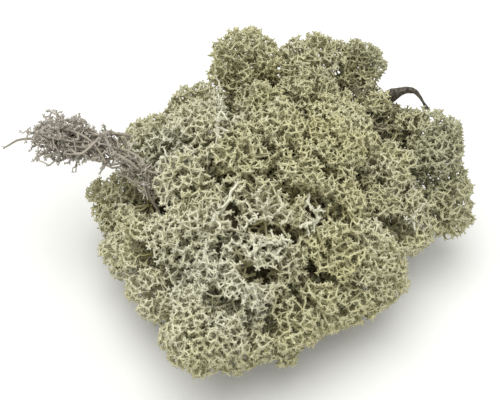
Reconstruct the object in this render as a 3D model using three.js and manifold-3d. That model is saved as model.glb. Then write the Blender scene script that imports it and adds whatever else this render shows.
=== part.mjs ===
// A clump of dried reindeer moss, which is a lichen: round pale heads of forked branchlets stand close
// together over a packed tangle of old grey-brown stems. A grey tuft leans out at the back left corner, and a
// dark twig is caught between the heads at the right.
//
// Millimetres, +Z up. +X is along the clump's long side and +Y towards its back. The origin is the middle of
// the small flat spot that the clump rests on.
import * as THREE from "three";
import { mergeVertices } from "three/addons/utils/BufferGeometryUtils.js";
import Module from "manifold-3d";

const wasm = await Module();
wasm.setup();

// --- Driving dimensions -------------------------------------------------------------------------------------

const CLUMP_LENGTH = 200; // over the heads' tips, without the tufts that lean out
const CLUMP_WIDTH = 166;
const CLUMP_HEIGHT = 97;
const SQUARENESS = 4; // the outline's exponent: 2 is an ellipse, and more is squarer
const FULLNESS = 2.6; // the same for how the top rounds into the sides. The underside is an ellipse's.
const HEAD_RADIUS = 20; // a full head, from its middle to the branchlets' tips
const HEAD_COUNT = 51; // with the grey tuft
const STAND_OFF = 14; // from the packed old stems to the middle of a head
const WIDEST_HEIGHT = 38; // where the packed old stems are widest
const RESTING_SHARE = 0.4; // the flat spot, as a share of the old stems' width
const LOOSE_STEM_COUNT = 38;
const SURFACE_SAMPLES = 2500; // places by which the heads are spread evenly
const RISER_RADIUS = 2; // the stem that carries a head
const GAP = 0.3; // between pieces that touch
const FLOOR_CLEARANCE = 1.2; // heads and loose stems stay this far above what the clump rests on
const SEED = 4327;

const LAYER = HEAD_RADIUS + STAND_OFF; // the heads, over the packed old stems
const MIDDLE = spot(0, 0, WIDEST_HEIGHT);
const MIDDLE_HALF = {
  x: CLUMP_LENGTH / 2 - LAYER,
  y: CLUMP_WIDTH / 2 - LAYER,
  up: CLUMP_HEIGHT - LAYER - WIDEST_HEIGHT,
  down: WIDEST_HEIGHT / Math.sqrt(1 - RESTING_SHARE ** 2),
};

const UP = spot(0, 0, 1);
const TINY = 1e-6;
const FINISHES = {
  head: { color: 0xc3c39a, roughness: 0.9 },
  greyTuft: { color: 0x9a8f86, roughness: 0.9 },
  oldStems: { color: 0x6f6756, roughness: 0.95 },
  twig: { color: 0x3b2c22, roughness: 0.85 },
};

function spot(x, y, z) {
  return new THREE.Vector3(x, y, z);
}

// A repeatable source of chance: the same seed gives the same numbers from 0 to 1.
function chance(seed) {
  let state = seed >>> 0;
  return () => {
    state = (state + 0x6d2b79f5) >>> 0;
    let t = state;
    t = Math.imul(t ^ (t >>> 15), t | 1);
    t ^= t + Math.imul(t ^ (t >>> 7), t | 61);
    return ((t ^ (t >>> 14)) >>> 0) / 4294967296;
  };
}

const random = chance(SEED);

function between(low, high) {
  return low + (high - low) * random();
}

function randomDirection() {
  const z = between(-1, 1);
  const angle = between(0, 2 * Math.PI);
  const across = Math.sqrt(1 - z * z);
  return spot(across * Math.cos(angle), across * Math.sin(angle), z);
}

// --- The packed middle's surface ----------------------------------------------------------------------------

// Slanted planes that cut the squarish oval: the clump lies low at its front right corner, and its left side
// runs askew.
const CUTS = [
  { normal: spot(0.62, -0.58, 0.53).normalize(), reach: 45 },
  { normal: spot(-0.96, 0.28, 0).normalize(), reach: 54 },
];

// How far out of the packed middle a place is: 1 on its surface. The place is taken from MIDDLE.
function outwardness(place) {
  const [half, power] = place.z > 0 ? [MIDDLE_HALF.up, FULLNESS] : [MIDDLE_HALF.down, 2];
  const along = Math.abs(place.x / MIDDLE_HALF.x) ** SQUARENESS;
  const across = Math.abs(place.y / MIDDLE_HALF.y) ** SQUARENESS;
  const plan = (along + across) ** (power / SQUARENESS);
  const round = (plan + Math.abs(place.z / half) ** power) ** (1 / power);
  return Math.max(round, ...CUTS.map(({ normal, reach }) => place.dot(normal) / reach));
}

// The place on the middle's surface along a direction, and the way out of the surface there.
function seatAlong(direction) {
  const place = direction.clone().divideScalar(outwardness(direction));
  const step = 0.5;
  const slope = (axis) => {
    const ahead = outwardness(place.clone().addScaledVector(axis, step));
    return ahead - outwardness(place.clone().addScaledVector(axis, -step));
  };
  const normal = spot(slope(spot(1, 0, 0)), slope(spot(0, 1, 0)), slope(UP)).normalize();
  return { point: place.add(MIDDLE), normal };
}

// --- Where the heads stand ----------------------------------------------------------------------------------

const LOWEST_HEAD = 27; // the lowest middle of a head
const PLACING_ROUNDS = 8;
const HEAD_SHARES = [0.94, 1.1]; // how large the heads are, of a full head
const HEAD_LIFTS = [-2.5, 4]; // how much further than STAND_OFF they stand from the old stems
const HOLLOW_SHARE = 0.68; // the same two for a head in a hollow
const HOLLOW_LIFT = -3;

// A head faces away from its seat. lean stretches it: its length is how far past the radius it reaches that
// way.
function headOn(seat, centre, radius, lean = spot(0, 0, 0)) {
  return { seat, centre, radius, lean, facing: centre.clone().sub(seat.point).normalize() };
}

function headAlong(direction, lift, radius) {
  const seat = seatAlong(direction);
  return headOn(seat, seat.point.clone().addScaledVector(seat.normal, STAND_OFF + lift), radius);
}

// Many places for a head, all over the middle's surface. area is how much of the surface each stands for.
const PLACES = [];
while (PLACES.length < SURFACE_SAMPLES) {
  const direction = randomDirection();
  const { seat, centre } = headAlong(direction, 0, HEAD_RADIUS);
  const area = seat.point.distanceToSquared(MIDDLE) / seat.normal.dot(direction);
  if (centre.z > LOWEST_HEAD) PLACES.push({ seat, centre, area });
}

// Which of some heads or places is nearest to a point.
function nearest(ones, point) {
  const distances = ones.map((one) => one.centre.distanceToSquared(point));
  return distances.indexOf(Math.min(...distances));
}

function headAt(centre, radius, lean) {
  return headOn(PLACES[nearest(PLACES, centre)].seat, centre, radius, lean);
}

const GREY_TUFT = headAt(spot(-79, 65, 73), 12, spot(-11, 7, 3));

// The heads that stand out of the crown, placed one by one.
const STANDING_HEADS = [
  headAt(spot(28, 60, 74), 19, spot(3, 4, 4)), // the tall one at the back
  headAt(spot(63, 45, 71), 18, spot(1, 3, 4)), // the one next to it
  headAt(spot(83, 30, 72), 14, spot(4, 2, 5)), // the one that leans out at the back right
  headAt(spot(85, -11, 57), 14, spot(3, 0, 1)), // the one under the twig's bend
  headAt(spot(84, -32, 65), 15, spot(9, -2, 2)), // the one that leans out at the front right
  headAt(spot(83, -50, 42), 18, spot(5, -2, 0)), // the low one at the front right corner
  headAt(spot(-80, -52, 52), 20, spot(-5, -3, 0)), // the one that hangs out at the front left corner
];

// Hollows between the heads: the head nearest to each is small and stands low.
const HOLLOWS = [
  spot(72, 4, 74),
  spot(2, -46, 80),
  spot(-62, 20, 66),
  spot(38, -60, 62),
  spot(-42, -60, 66),
  spot(-34, 66, 64),
];

// Heads all over the middle's surface. Each starts at the place that is furthest from every head so far. Then
// each moves, some times over, to the middle of the surface that is nearer to it than to any other head.
function placeHeads() {
  const fixed = [GREY_TUFT, ...STANDING_HEADS];
  let free = [];
  while (free.length < HEAD_COUNT - fixed.length) {
    const heads = [...fixed, ...free];
    const rooms = PLACES.map(({ centre }) => heads[nearest(heads, centre)].centre.distanceTo(centre));
    const { seat, centre } = PLACES[rooms.indexOf(Math.max(...rooms))];
    free.push(headOn(seat, centre, HEAD_RADIUS));
  }
  for (let round = 0; round < PLACING_ROUNDS; round++) {
    const heads = [...fixed, ...free];
    const sums = heads.map(() => spot(0, 0, 0));
    for (const { seat, centre, area } of PLACES) {
      sums[nearest(heads, centre)].addScaledVector(seat.point.clone().sub(MIDDLE), area);
    }
    free = sums.slice(fixed.length).map((sum) => headAlong(sum.normalize(), 0, HEAD_RADIUS));
  }
  const hollows = HOLLOWS.map((place) => nearest(free, place));
  free = free.map((one, i) => {
    const direction = one.seat.point.clone().sub(MIDDLE).normalize();
    const share = hollows.includes(i) ? HOLLOW_SHARE : between(...HEAD_SHARES);
    const lift = hollows.includes(i) ? HOLLOW_LIFT : between(...HEAD_LIFTS);
    return headAlong(direction, lift, HEAD_RADIUS * share);
  });
  return [...fixed, ...free];
}

// The planes that keep a head in its own place, with the head on the side below reach: one towards each
// neighbour, one over the packed middle and one over what the clump rests on.
function fences(heads, one) {
  const { point, normal } = one.seat;
  const planes = [
    { normal: UP.clone().negate(), reach: -FLOOR_CLEARANCE },
    { normal: normal.clone().negate(), reach: -point.dot(normal) - GAP },
  ];
  for (const other of heads) {
    const away = other.centre.clone().sub(one.centre);
    const distance = away.length();
    if (other === one || distance > 2 * (one.radius + other.radius)) continue;
    const share = 0.5 + (one.radius ** 2 - other.radius ** 2) / (2 * distance ** 2);
    const towards = away.divideScalar(distance);
    planes.push({ normal: towards, reach: one.centre.dot(towards) + share * distance - GAP / 2 });
  }
  return planes;
}

// --- Meshes -------------------------------------------------------------------------------------------------

// The corners and triangles of a mesh that is grown piece by piece.
function growth() {
  const positions = [];
  const index = [];
  return {
    corner(place) {
      positions.push(place.x, place.y, place.z);
      return positions.length / 3 - 1;
    },
    triangle(a, b, c) {
      index.push(a, b, c);
    },
    // The three sides between one ring of three corners and the next ring, further out.
    sleeve(ring, next) {
      for (let k = 0; k < 3; k++) {
        const after = (k + 1) % 3;
        index.push(ring[k], ring[after], next[after], ring[k], next[after], next[k]);
      }
    },
    // Three prongs on a ring, one between each two of its corners.
    prongs(ring, crotch, tips) {
      for (let k = 0; k < 3; k++) {
        const after = (k + 1) % 3;
        index.push(ring[k], ring[after], tips[k], ring[after], crotch, tips[k], crotch, ring[k], tips[k]);
      }
    },
    geometry() {
      const geometry = new THREE.BufferGeometry();
      geometry.setAttribute("position", new THREE.Float32BufferAttribute(positions, 3));
      geometry.setIndex(index);
      return geometry;
    },
  };
}

function merged(geometry) {
  const bare = geometry.clone();
  bare.deleteAttribute("normal");
  bare.deleteAttribute("uv");
  return mergeVertices(bare, 1e-4);
}

function solidOf(geometry) {
  const closed = merged(geometry);
  const vertProperties = closed.attributes.position.array;
  const triVerts = new Uint32Array(closed.index.array);
  return new wasm.Manifold(new wasm.Mesh({ numProp: 3, vertProperties, triVerts }));
}

function geometryOf(solid) {
  const mesh = solid.getMesh();
  const geometry = new THREE.BufferGeometry();
  geometry.setAttribute("position", new THREE.BufferAttribute(mesh.vertProperties, 3));
  geometry.setIndex(new THREE.BufferAttribute(mesh.triVerts, 1));
  return geometry;
}

// The one body that is worth keeping after a cut: loose scraps are dropped.
function largestBody(solid) {
  return solid.decompose().reduce((best, body) => (body.volume() > best.volume() ? body : best));
}

function squareTo(direction) {
  const steep = Math.abs(direction.z) > Math.SQRT1_2;
  return direction.clone().cross(steep ? spot(1, 0, 0) : UP).normalize();
}

// A closed tube of flat sides through some points, with a radius at each.
function tube(points, radii, sides) {
  const mesh = growth();
  const across = squareTo(points[1].clone().sub(points[0]).normalize());
  points.forEach((point, i) => {
    const before = points[Math.max(0, i - 1)];
    const after = points[Math.min(points.length - 1, i + 1)];
    const along = after.clone().sub(before).normalize();
    across.addScaledVector(along, -across.dot(along)).normalize();
    const third = along.clone().cross(across);
    for (let side = 0; side < sides; side++) {
      const angle = (side / sides) * 2 * Math.PI;
      const rim = point.clone().addScaledVector(across, Math.cos(angle) * radii[i]);
      mesh.corner(rim.addScaledVector(third, Math.sin(angle) * radii[i]));
    }
  });
  for (let i = 0; i + 1 < points.length; i++) {
    for (let side = 0; side < sides; side++) {
      const a = i * sides + side;
      const b = i * sides + ((side + 1) % sides);
      mesh.triangle(a, b, b + sides);
      mesh.triangle(a, b + sides, a + sides);
    }
  }
  const last = (points.length - 1) * sides;
  for (let side = 1; side + 1 < sides; side++) {
    mesh.triangle(0, side + 1, side);
    mesh.triangle(last, last + side, last + side + 1);
  }
  return mesh.geometry();
}

// --- Heads --------------------------------------------------------------------------------------------------

// How a head grows. Its knot, its branches and its twiglets end at these shares of its reach, and the knot is
// this much wider than deep. A side that faces out by more than open forks twice, and one that faces out by
// less than covered stays bare.
const HEAD_HABIT = {
  knot: 0.53,
  knotWider: 0.18,
  branch: 0.69,
  branchRadius: 2.1,
  twiglet: 0.85,
  twigletRadius: 1.3,
  open: 0.4,
  covered: -0.3,
};
const GREY_HABIT = {
  knot: 0.3,
  knotWider: 0,
  branch: 0.52,
  branchRadius: 1.6,
  twiglet: 0.76,
  twigletRadius: 1.1,
  open: 0,
  covered: -0.6,
};
// How unevenly the parts of a head reach, as shares of an even reach.
const KNOT_REACH = [0.9, 1.05];
const BRANCH_REACH = [0.92, 1.08];
const TWIGLET_REACH = [0.96, 1.04];
const TIP_REACH = [0.95, 1.1];
const KNOT_ROOM = 0.9; // the knot keeps to this share of the room that the fences leave
const LEAST_BRANCH = 0.14; // a side whose branch would be shorter than this share of the radius stays bare
const LEAST_FORK = 0.82; // a side that reaches less than this share of the radius forks only once
const CROTCH_RISE = 0.7; // a fork's crotch stands this far out of its rim, as a share of the rim's radius
// A twenty-faced ball's distance from its middle to its faces, as a share of that to its corners.
const FACE_SHARE = Math.sqrt((5 + 2 * Math.sqrt(5)) / 15);

function habitOf(one) {
  return one === GREY_TUFT ? GREY_HABIT : HEAD_HABIT;
}

// A twenty-faced ball's directions to its corners, and its faces, with the first face turned towards a
// direction.
function turnedBall(first, spin) {
  const ball = merged(new THREE.IcosahedronGeometry(1, 0));
  const { position } = ball.attributes;
  const directions = Array.from({ length: position.count }, (_, i) => {
    return new THREE.Vector3().fromBufferAttribute(position, i).normalize();
  });
  const faces = [];
  for (let i = 0; i < ball.index.count; i += 3) faces.push([...ball.index.array.slice(i, i + 3)]);
  const middle = faces[0].reduce((sum, i) => sum.add(directions[i]), spot(0, 0, 0)).normalize();
  const spun = new THREE.Quaternion().setFromAxisAngle(middle, spin);
  const turn = new THREE.Quaternion().setFromUnitVectors(middle, first).multiply(spun);
  directions.forEach((direction) => direction.applyQuaternion(turn));
  return { directions, faces };
}

// A direction blended from some others, by random weights that vary this much about equal ones.
function blend(directions, vary) {
  const sum = spot(0, 0, 0);
  for (const direction of directions) sum.addScaledVector(direction, 1 + between(-vary, vary));
  return sum.normalize();
}

// How far a head could reach along a direction before it crosses a fence.
function roomAlong(one, planes, direction) {
  const rooms = planes.map(({ normal, reach }) => {
    const rise = direction.dot(normal);
    return rise > TINY ? (reach - one.centre.dot(normal)) / rise : Infinity;
  });
  return Math.min(...rooms);
}

function reachAlong(one, planes, direction) {
  const leaning = one.lean.lengthSq() > 0 ? Math.max(0, direction.dot(one.lean)) ** 2 / one.lean.length() : 0;
  return Math.min(one.radius + leaning, roomAlong(one, planes, direction));
}

// Grows a head round a knot of twenty faces. A branch leaves each face and forks to three twiglets, one
// towards each corner of the face, and each twiglet ends in three prongs. Where a face is less open, its branch
// ends in three prongs itself. Every branch stays in the cone over its own face, so that none crosses another.
// It gives the mesh, and how far the knot's flat underside lies from the head's middle.
function growHead(one, planes) {
  const { knot, knotWider, branch, branchRadius, twiglet, twigletRadius, open, covered } = habitOf(one);
  const mesh = growth();
  const along = (direction, distance) => one.centre.clone().addScaledVector(direction, distance);
  const corner = (place) => {
    const away = place.clone().sub(one.centre);
    const distance = away.length();
    away.divideScalar(distance);
    return mesh.corner(along(away, Math.min(distance, roomAlong(one, planes, away))));
  };
  // Three corners round a direction, at one distance, each turned towards one of three other directions.
  const ring = (direction, distance, towards, radius) =>
    towards.map((other) => {
      const side = other.clone().addScaledVector(direction, -other.dot(direction)).normalize();
      return corner(along(direction, distance).addScaledVector(side, radius));
    });

  const { directions, faces } = turnedBall(one.facing.clone().negate(), between(0, 2 * Math.PI));
  const knotReach = (direction) => {
    const share = knot + knotWider * (1 - direction.dot(one.facing) ** 2);
    return Math.min(share * one.radius, KNOT_ROOM * roomAlong(one, planes, direction));
  };
  const underside = Math.min(knot * one.radius, ...faces[0].map((i) => knotReach(directions[i])));
  const knots = directions.map((direction, i) => {
    const distance = faces[0].includes(i) ? underside : knotReach(direction) * between(...KNOT_REACH);
    return corner(along(direction, distance));
  });

  for (const face of faces) {
    const base = face.map((i) => knots[i]);
    const out = face.map((i) => directions[i]);
    const axis = blend(out, 0.2);
    const facingness = axis.dot(one.facing);
    const reach = reachAlong(one, planes, axis) * between(...BRANCH_REACH);
    if (facingness < covered || reach < knotReach(axis) + LEAST_BRANCH * one.radius) {
      mesh.triangle(...base);
      continue;
    }
    const twice = facingness > open && reach > LEAST_FORK * one.radius;
    const halfway = out.map((direction, k) => direction.clone().add(out[(k + 1) % 3]).normalize());
    const neck = reach * (twice ? branch : (knot + 1) / 2);
    const radius = twice ? branchRadius : twigletRadius;
    const rim = ring(axis, neck, halfway, radius);
    const crotch = corner(along(axis, neck + radius * CROTCH_RISE));
    // The branch widens to the whole face of the knot, a half turn against its rim.
    for (let k = 0; k < 3; k++) {
      const after = (k + 1) % 3;
      mesh.triangle(base[k], base[after], rim[k]);
      mesh.triangle(base[after], rim[after], rim[k]);
    }
    // Each fork lies between two corners of the rim, towards the corner of the face between them.
    const ways = [0, 1, 2].map((k) => {
      const after = (k + 1) % 3;
      return blend([axis, halfway[k], out[after], halfway[after]], 0.25);
    });
    if (!twice) {
      const tips = ways.map((way) => corner(along(way, reach * between(...TIP_REACH))));
      mesh.prongs(rim, crotch, tips);
      continue;
    }
    ways.forEach((way, k) => {
      const after = (k + 1) % 3;
      const far = twiglet * reach * between(...TWIGLET_REACH);
      const top = ring(way, far, [halfway[k], halfway[after], axis], twigletRadius);
      mesh.sleeve([rim[k], rim[after], crotch], top);
      const ends = [
        blend([way, out[after], out[after]], 0.3),
        blend([way, halfway[after], axis], 0.3),
        blend([way, axis, halfway[k]], 0.3),
      ];
      const tips = ends.map((end) => corner(along(end, reach * between(...TIP_REACH))));
      mesh.prongs(top, corner(along(way, far + twigletRadius * CROTCH_RISE)), tips);
    });
  }
  return { mesh: mesh.geometry(), underside: underside * FACE_SHARE };
}

// --- Old stems ----------------------------------------------------------------------------------------------

const MIDDLE_DETAIL = 3;
const MIDDLE_SHARES = [0.86, 1]; // how far out the packed middle's corners lie, of its surface
const RISER_ROOT = 16; // how deep in the packed middle a riser starts
const RISER_FOOT = 1.5; // how much wider its foot is
const LOOSE_STEM_RADII = [2.4, 2.1, 1.5];
const LOOSE_STEM_ROOT = 8; // how deep in the packed middle it starts
const LOOSE_STEM_STEPS = [7, 11]; // from one point of a loose stem to the next
const LOOSE_STEM_LIFTS = [2, 7]; // how far its end lifts off the middle
const LOOSE_STEM_CLEARANCE = 1.5; // between its points and the heads
const PRONG_REACH = 0.7; // how far its prongs reach on and to the side, as shares of the step
const PRONG_SPREAD = 0.45;

// The packed middle: an uneven lump that never reaches past its surface. Where that surface would lie below
// what the clump rests on, the lump is pressed flat, with a whole face of it round the origin.
function packedMiddle() {
  const ball = merged(new THREE.IcosahedronGeometry(1, MIDDLE_DETAIL));
  const { position } = ball.attributes;
  const corner = (i) => new THREE.Vector3().fromBufferAttribute(position, i).normalize();
  const lowest = [0, 1, 2].reduce((sum, k) => sum.add(corner(ball.index.getX(k))), spot(0, 0, 0)).normalize();
  const turn = new THREE.Quaternion().setFromUnitVectors(lowest, UP.clone().negate());
  for (let i = 0; i < position.count; i++) {
    const direction = corner(i).applyQuaternion(turn);
    const reach = 1 / outwardness(direction);
    const pressed = MIDDLE.z + direction.z * reach < 0;
    const out = pressed ? -MIDDLE.z / direction.z : reach * between(...MIDDLE_SHARES);
    const place = direction.multiplyScalar(out).add(MIDDLE);
    position.setXYZ(i, place.x, place.y, pressed ? 0 : place.z);
  }
  return solidOf(ball);
}

// The stem from the packed middle to the underside of a head. more is added to its radius, to make room for it.
function riser(one, underside, more) {
  const root = one.seat.point.clone().addScaledVector(one.facing, -RISER_ROOT);
  const end = one.centre.clone().addScaledVector(one.facing, -underside - GAP);
  return solidOf(tube([root, end], [RISER_RADIUS * RISER_FOOT + more, RISER_RADIUS + more], 3));
}

// Loose old stems on the lower half, under the heads. Each is kept if it is clear of the heads and the floor.
function looseStems(heads) {
  const stems = [];
  while (stems.length < LOOSE_STEM_COUNT) {
    const { mesh, places } = looseStem(seatAlong(randomDirection()));
    const clear = places.every((place) => {
      const far = (one) => one.centre.distanceTo(place) > one.radius + LOOSE_STEM_CLEARANCE;
      return place.z > 0 && heads.every(far);
    });
    if (clear) stems.push(solidOf(mesh));
  }
  return stems;
}

// A loose stem comes out of the middle, runs along its surface, lifts off it and forks in three.
function looseStem(seat) {
  const heading = randomDirection().cross(seat.normal).normalize();
  const step = between(...LOOSE_STEM_STEPS);
  const onward = (distance, lift) => {
    const point = seat.point.clone().addScaledVector(heading, distance);
    const { point: foot, normal } = seatAlong(point.sub(MIDDLE).normalize());
    return foot.addScaledVector(normal, lift);
  };
  const mesh = growth();
  const corner = (place) => mesh.corner(place.setZ(Math.max(place.z, FLOOR_CLEARANCE)));
  const root = onward(-step, -LOOSE_STEM_ROOT);
  const spine = [root, onward(0, LOOSE_STEM_RADII[1] / 2), onward(1.5 * step, between(...LOOSE_STEM_LIFTS))];
  const end = spine[2].clone().sub(spine[1]).normalize();
  const rings = LOOSE_STEM_RADII.map((radius, i) => {
    return ringRound(spine[i], end, seat.normal, radius, 0).map(corner);
  });
  mesh.triangle(rings[0][0], rings[0][2], rings[0][1]);
  mesh.sleeve(rings[0], rings[1]);
  mesh.sleeve(rings[1], rings[2]);
  const beyond = (distance) => spine[2].clone().addScaledVector(end, distance);
  const tips = ringRound(beyond(PRONG_REACH * step), end, seat.normal, PRONG_SPREAD * step, 0.5);
  mesh.prongs(rings[2], corner(beyond(CROTCH_RISE * LOOSE_STEM_RADII[2])), tips.map(corner));
  return { mesh: mesh.geometry(), places: [...spine.slice(1), ...tips] };
}

// Three places round a point, square to a direction. turn is how many thirds of a turn the first is from up.
function ringRound(place, direction, up, radius, turn) {
  const side = up.clone().addScaledVector(direction, -up.dot(direction)).normalize();
  return [0, 1, 2].map((k) => {
    const spin = new THREE.Quaternion().setFromAxisAngle(direction, ((k + turn) * 2 * Math.PI) / 3);
    return place.clone().addScaledVector(side.clone().applyQuaternion(spin), radius);
  });
}

// --- Twig ---------------------------------------------------------------------------------------------------

// A bent piece of bark-covered twig: it comes up between the heads, bends over and hangs out at the right.
const TWIG_POINTS = [
  spot(58, 10, 50),
  spot(78, 7, 71),
  spot(85, 1, 81),
  spot(91, -5, 85),
  spot(94, -10, 82),
  spot(97, -15, 76),
];
const TWIG_RADII = [2.6, 3, 2.8, 1.6, 1, 0.8];
const TWIG_STEPS = 15;
const TWIG_SIDES = 6;

// more is added to its radius to make room for it.
function twig(more) {
  const points = new THREE.CatmullRomCurve3(TWIG_POINTS).getPoints(TWIG_STEPS);
  const radii = points.map((_, i) => {
    const along = (i / TWIG_STEPS) * (TWIG_RADII.length - 1);
    const before = Math.min(Math.floor(along), TWIG_RADII.length - 2);
    return THREE.MathUtils.lerp(TWIG_RADII[before], TWIG_RADII[before + 1], along - before) + more;
  });
  return solidOf(tube(points, radii, TWIG_SIDES));
}

// --- The clump ----------------------------------------------------------------------------------------------

const clump = new THREE.Group();

function addPiece(name, solid, finish) {
  const material = new THREE.MeshStandardMaterial({ ...finish, metalness: 0 });
  const mesh = new THREE.Mesh(geometryOf(solid), material);
  mesh.name = name;
  clump.add(mesh);
}

const heads = placeHeads();
const grown = heads.map((one) => growHead(one, fences(heads, one)));
const risers = (more) => heads.map((one, i) => riser(one, grown[i].underside, more));
// The heads make room for the twig, and for the long slanted risers of the heads that lean out.
const room = wasm.Manifold.union([twig(GAP), ...risers(GAP).slice(0, STANDING_HEADS.length + 1)]);

heads.forEach((one, i) => {
  const solid = largestBody(solidOf(grown[i].mesh).subtract(room));
  if (one === GREY_TUFT) addPiece("grey_tuft", solid, FINISHES.greyTuft);
  else addPiece("head_" + String(i).padStart(2, "0"), solid, FINISHES.head);
});

const oldStems = wasm.Manifold.union([packedMiddle(), ...risers(0), ...looseStems(heads)]);
addPiece("old_stems", largestBody(oldStems.subtract(twig(GAP))), FINISHES.oldStems);
addPiece("dark_twig", twig(0), FINISHES.twig);

export default clump;
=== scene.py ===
# %% [markdown]
# # A clump of dried reindeer moss
#
# Reindeer moss is a lichen. Each plant is a round head of thin branches that fork again and again, and each
# last fork opens like a small star. The heads stand side by side over a pressed tangle of their old stems.
# From a step away the clump is a pale net with dark holes in it. This scene models that net branchlet by
# branchlet, and paints none of it on a surface.
#
# Solids for the clump already exist: plain heads of the right size in the right places. They give the
# frame. Every head is grown again here, in fine branchlets, inside the space that its solid takes.

# %% Open the frame
import math

import bmesh
import bpy
import numpy as np
from mathutils import Matrix, Vector, noise
from mathutils.bvhtree import BVHTree
from mathutils.kdtree import KDTree


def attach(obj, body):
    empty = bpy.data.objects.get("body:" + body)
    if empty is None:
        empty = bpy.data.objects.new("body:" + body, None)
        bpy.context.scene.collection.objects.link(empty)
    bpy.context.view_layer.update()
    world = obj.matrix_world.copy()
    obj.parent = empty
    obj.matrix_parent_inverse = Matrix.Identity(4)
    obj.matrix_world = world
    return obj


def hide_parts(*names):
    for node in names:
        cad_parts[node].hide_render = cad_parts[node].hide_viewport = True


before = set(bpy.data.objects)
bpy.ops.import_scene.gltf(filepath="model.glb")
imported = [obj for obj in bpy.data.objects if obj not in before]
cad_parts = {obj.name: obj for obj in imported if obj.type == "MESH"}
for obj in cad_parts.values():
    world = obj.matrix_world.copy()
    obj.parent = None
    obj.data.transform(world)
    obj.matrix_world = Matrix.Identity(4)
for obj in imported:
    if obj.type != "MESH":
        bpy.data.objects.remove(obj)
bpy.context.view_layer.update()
MM = 0.001  # Blender's unit is the metre, and the lichen is worked out in millimetres
HEAD_NAMES = sorted(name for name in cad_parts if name.startswith("head_"))
print("solids:", len(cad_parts), "of which heads:", len(HEAD_NAMES))

# %% [markdown]
# ## The camera
#
# The clump is seen from its front left and from above, from about 65 centimetres away. A camera that aims
# at the clump with level shoulders would show its upright lines upright. Here they lean to the right, as
# they do in the corner of a wider view. Shifting the lens could do that too, but other views would keep the
# shift. So the camera is rolled by that angle.

# %% Place the camera
CAMERA_PLACE = Vector((-0.3262, -0.3043, 0.5191))
CAMERA_AIM = Vector((-0.009, 0.003, 0.047))
CAMERA_ROLL = math.radians(10.3)
CAMERA_LENS = 88  # millimetres
FILM_WIDTH = 36  # millimetres


def place_camera():
    """Adds the camera and makes it the one that renders."""
    camera = bpy.data.objects.new("camera", bpy.data.cameras.new("camera"))
    camera.data.lens = CAMERA_LENS
    camera.data.sensor_width = FILM_WIDTH
    aimed = (CAMERA_AIM - CAMERA_PLACE).to_track_quat("-Z", "Y").to_matrix().to_4x4()
    rolled = aimed @ Matrix.Rotation(CAMERA_ROLL, 4, "Z")
    camera.matrix_world = Matrix.Translation(CAMERA_PLACE) @ rolled
    bpy.context.scene.collection.objects.link(camera)
    bpy.context.scene.camera = camera


place_camera()
print("camera to clump:", round((CAMERA_AIM - CAMERA_PLACE).length, 3), "m")

# %% [markdown]
# ## Reading a solid
#
# A solid head is a knot with some dozens of pointed prongs. Two things are taken from it: its middle, and
# how far its prongs reach in any direction. Rays against the solid would fall between the prongs. So a
# weighted mean of the points near a direction gives that reach. The weights favour far points, because a
# far point is a prong and a near one is the knot under it.


# %% Read a solid's corners
def corners_of(name):
    """The corners of a solid's triangles in millimetres, by triangle, corner and coordinate."""
    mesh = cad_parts[name].data
    points = np.empty(len(mesh.vertices) * 3)
    mesh.vertices.foreach_get("co", points)
    mesh.calc_loop_triangles()
    triangles = np.empty(len(mesh.loop_triangles) * 3, int)
    mesh.loop_triangles.foreach_get("vertices", triangles)
    return points.reshape(-1, 3)[triangles].reshape(-1, 3, 3) / MM


def middle_of(corners):
    """The centre of the volume inside some triangles."""
    volumes = np.einsum("ij,ij->i", corners[:, 0], np.cross(corners[:, 1], corners[:, 2]))
    return (corners.sum(axis=1) * volumes[:, None]).sum(axis=0) / (4 * volumes.sum())


def lengths(vectors):
    """The length of each row, kept as a column."""
    return np.linalg.norm(vectors, axis=-1, keepdims=True)


print("middle of the old stems:", middle_of(corners_of("old_stems")).round(1), "mm")

# %% Read the heads
PRONG_SHARE = 0.75  # a point is on a prong from this share of the furthest point's distance
REACH_FOCUS = 30  # how strictly a point has to lie in the asked direction to count
FAR_FAVOUR = 6  # how strongly far points count more than near ones


class Head:
    """What a solid head says about its form, in millimetres."""

    def __init__(self, name):
        corners = corners_of(name)
        self.middle = middle_of(corners)
        away = np.unique(corners.reshape(-1, 3).round(3), axis=0) - self.middle
        self.reaches = lengths(away)[:, 0]
        self.ways = away / self.reaches[:, None]
        prongs = self.reaches > PRONG_SHARE * self.reaches.max()
        self.radius = np.median(self.reaches[prongs])
        facing = self.ways[prongs].sum(axis=0)
        self.facing = facing / np.linalg.norm(facing)

    def reach(self, ways):
        """How far the prongs reach along each of some directions."""
        focus = np.exp(REACH_FOCUS * (ways @ self.ways.T - 1))
        weights = focus * self.reaches**FAR_FAVOUR
        return (weights @ self.reaches) / weights.sum(axis=1)


heads = {name: Head(name) for name in [*HEAD_NAMES, "grey_tuft"]}
MIDDLES = np.array([head.middle for head in heads.values()])
RADII = np.array([head.radius for head in heads.values()])
print("radius of a head:", round(float(np.median(RADII)), 1), "mm")

# %% [markdown]
# ## Where the stars open
#
# The last forks make the clump's skin, so they are placed first and the branches are grown back from them.
# Candidates lie on each head's outer form, where a smooth bridge fills the dips between neighbours, because
# real heads grow into one another. A candidate is dropped where it would lie in a neighbour's share of the
# space, or so deep between two heads that nobody sees it. Some of them lie further in, so that a hole in
# the skin shows more branchlets and not an empty middle.

# %% Spread directions
SEED = 4327
SPIRAL_STRAY = 0.01

random = np.random.default_rng(SEED)


def even_directions(count):
    """Directions spread evenly over a ball along a spiral."""
    steps = np.arange(count) + 0.5
    up = 1 - 2 * steps / count
    turn = steps * math.pi * (3 - math.sqrt(5))
    across = np.sqrt(1 - up**2)
    return np.stack([across * np.cos(turn), across * np.sin(turn), up], axis=1)


def strayed_directions(count):
    """The same, each strayed a little, so that the spiral doesn't show."""
    ways = even_directions(count) + random.normal(0, SPIRAL_STRAY, (count, 3))
    return ways / lengths(ways)


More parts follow.
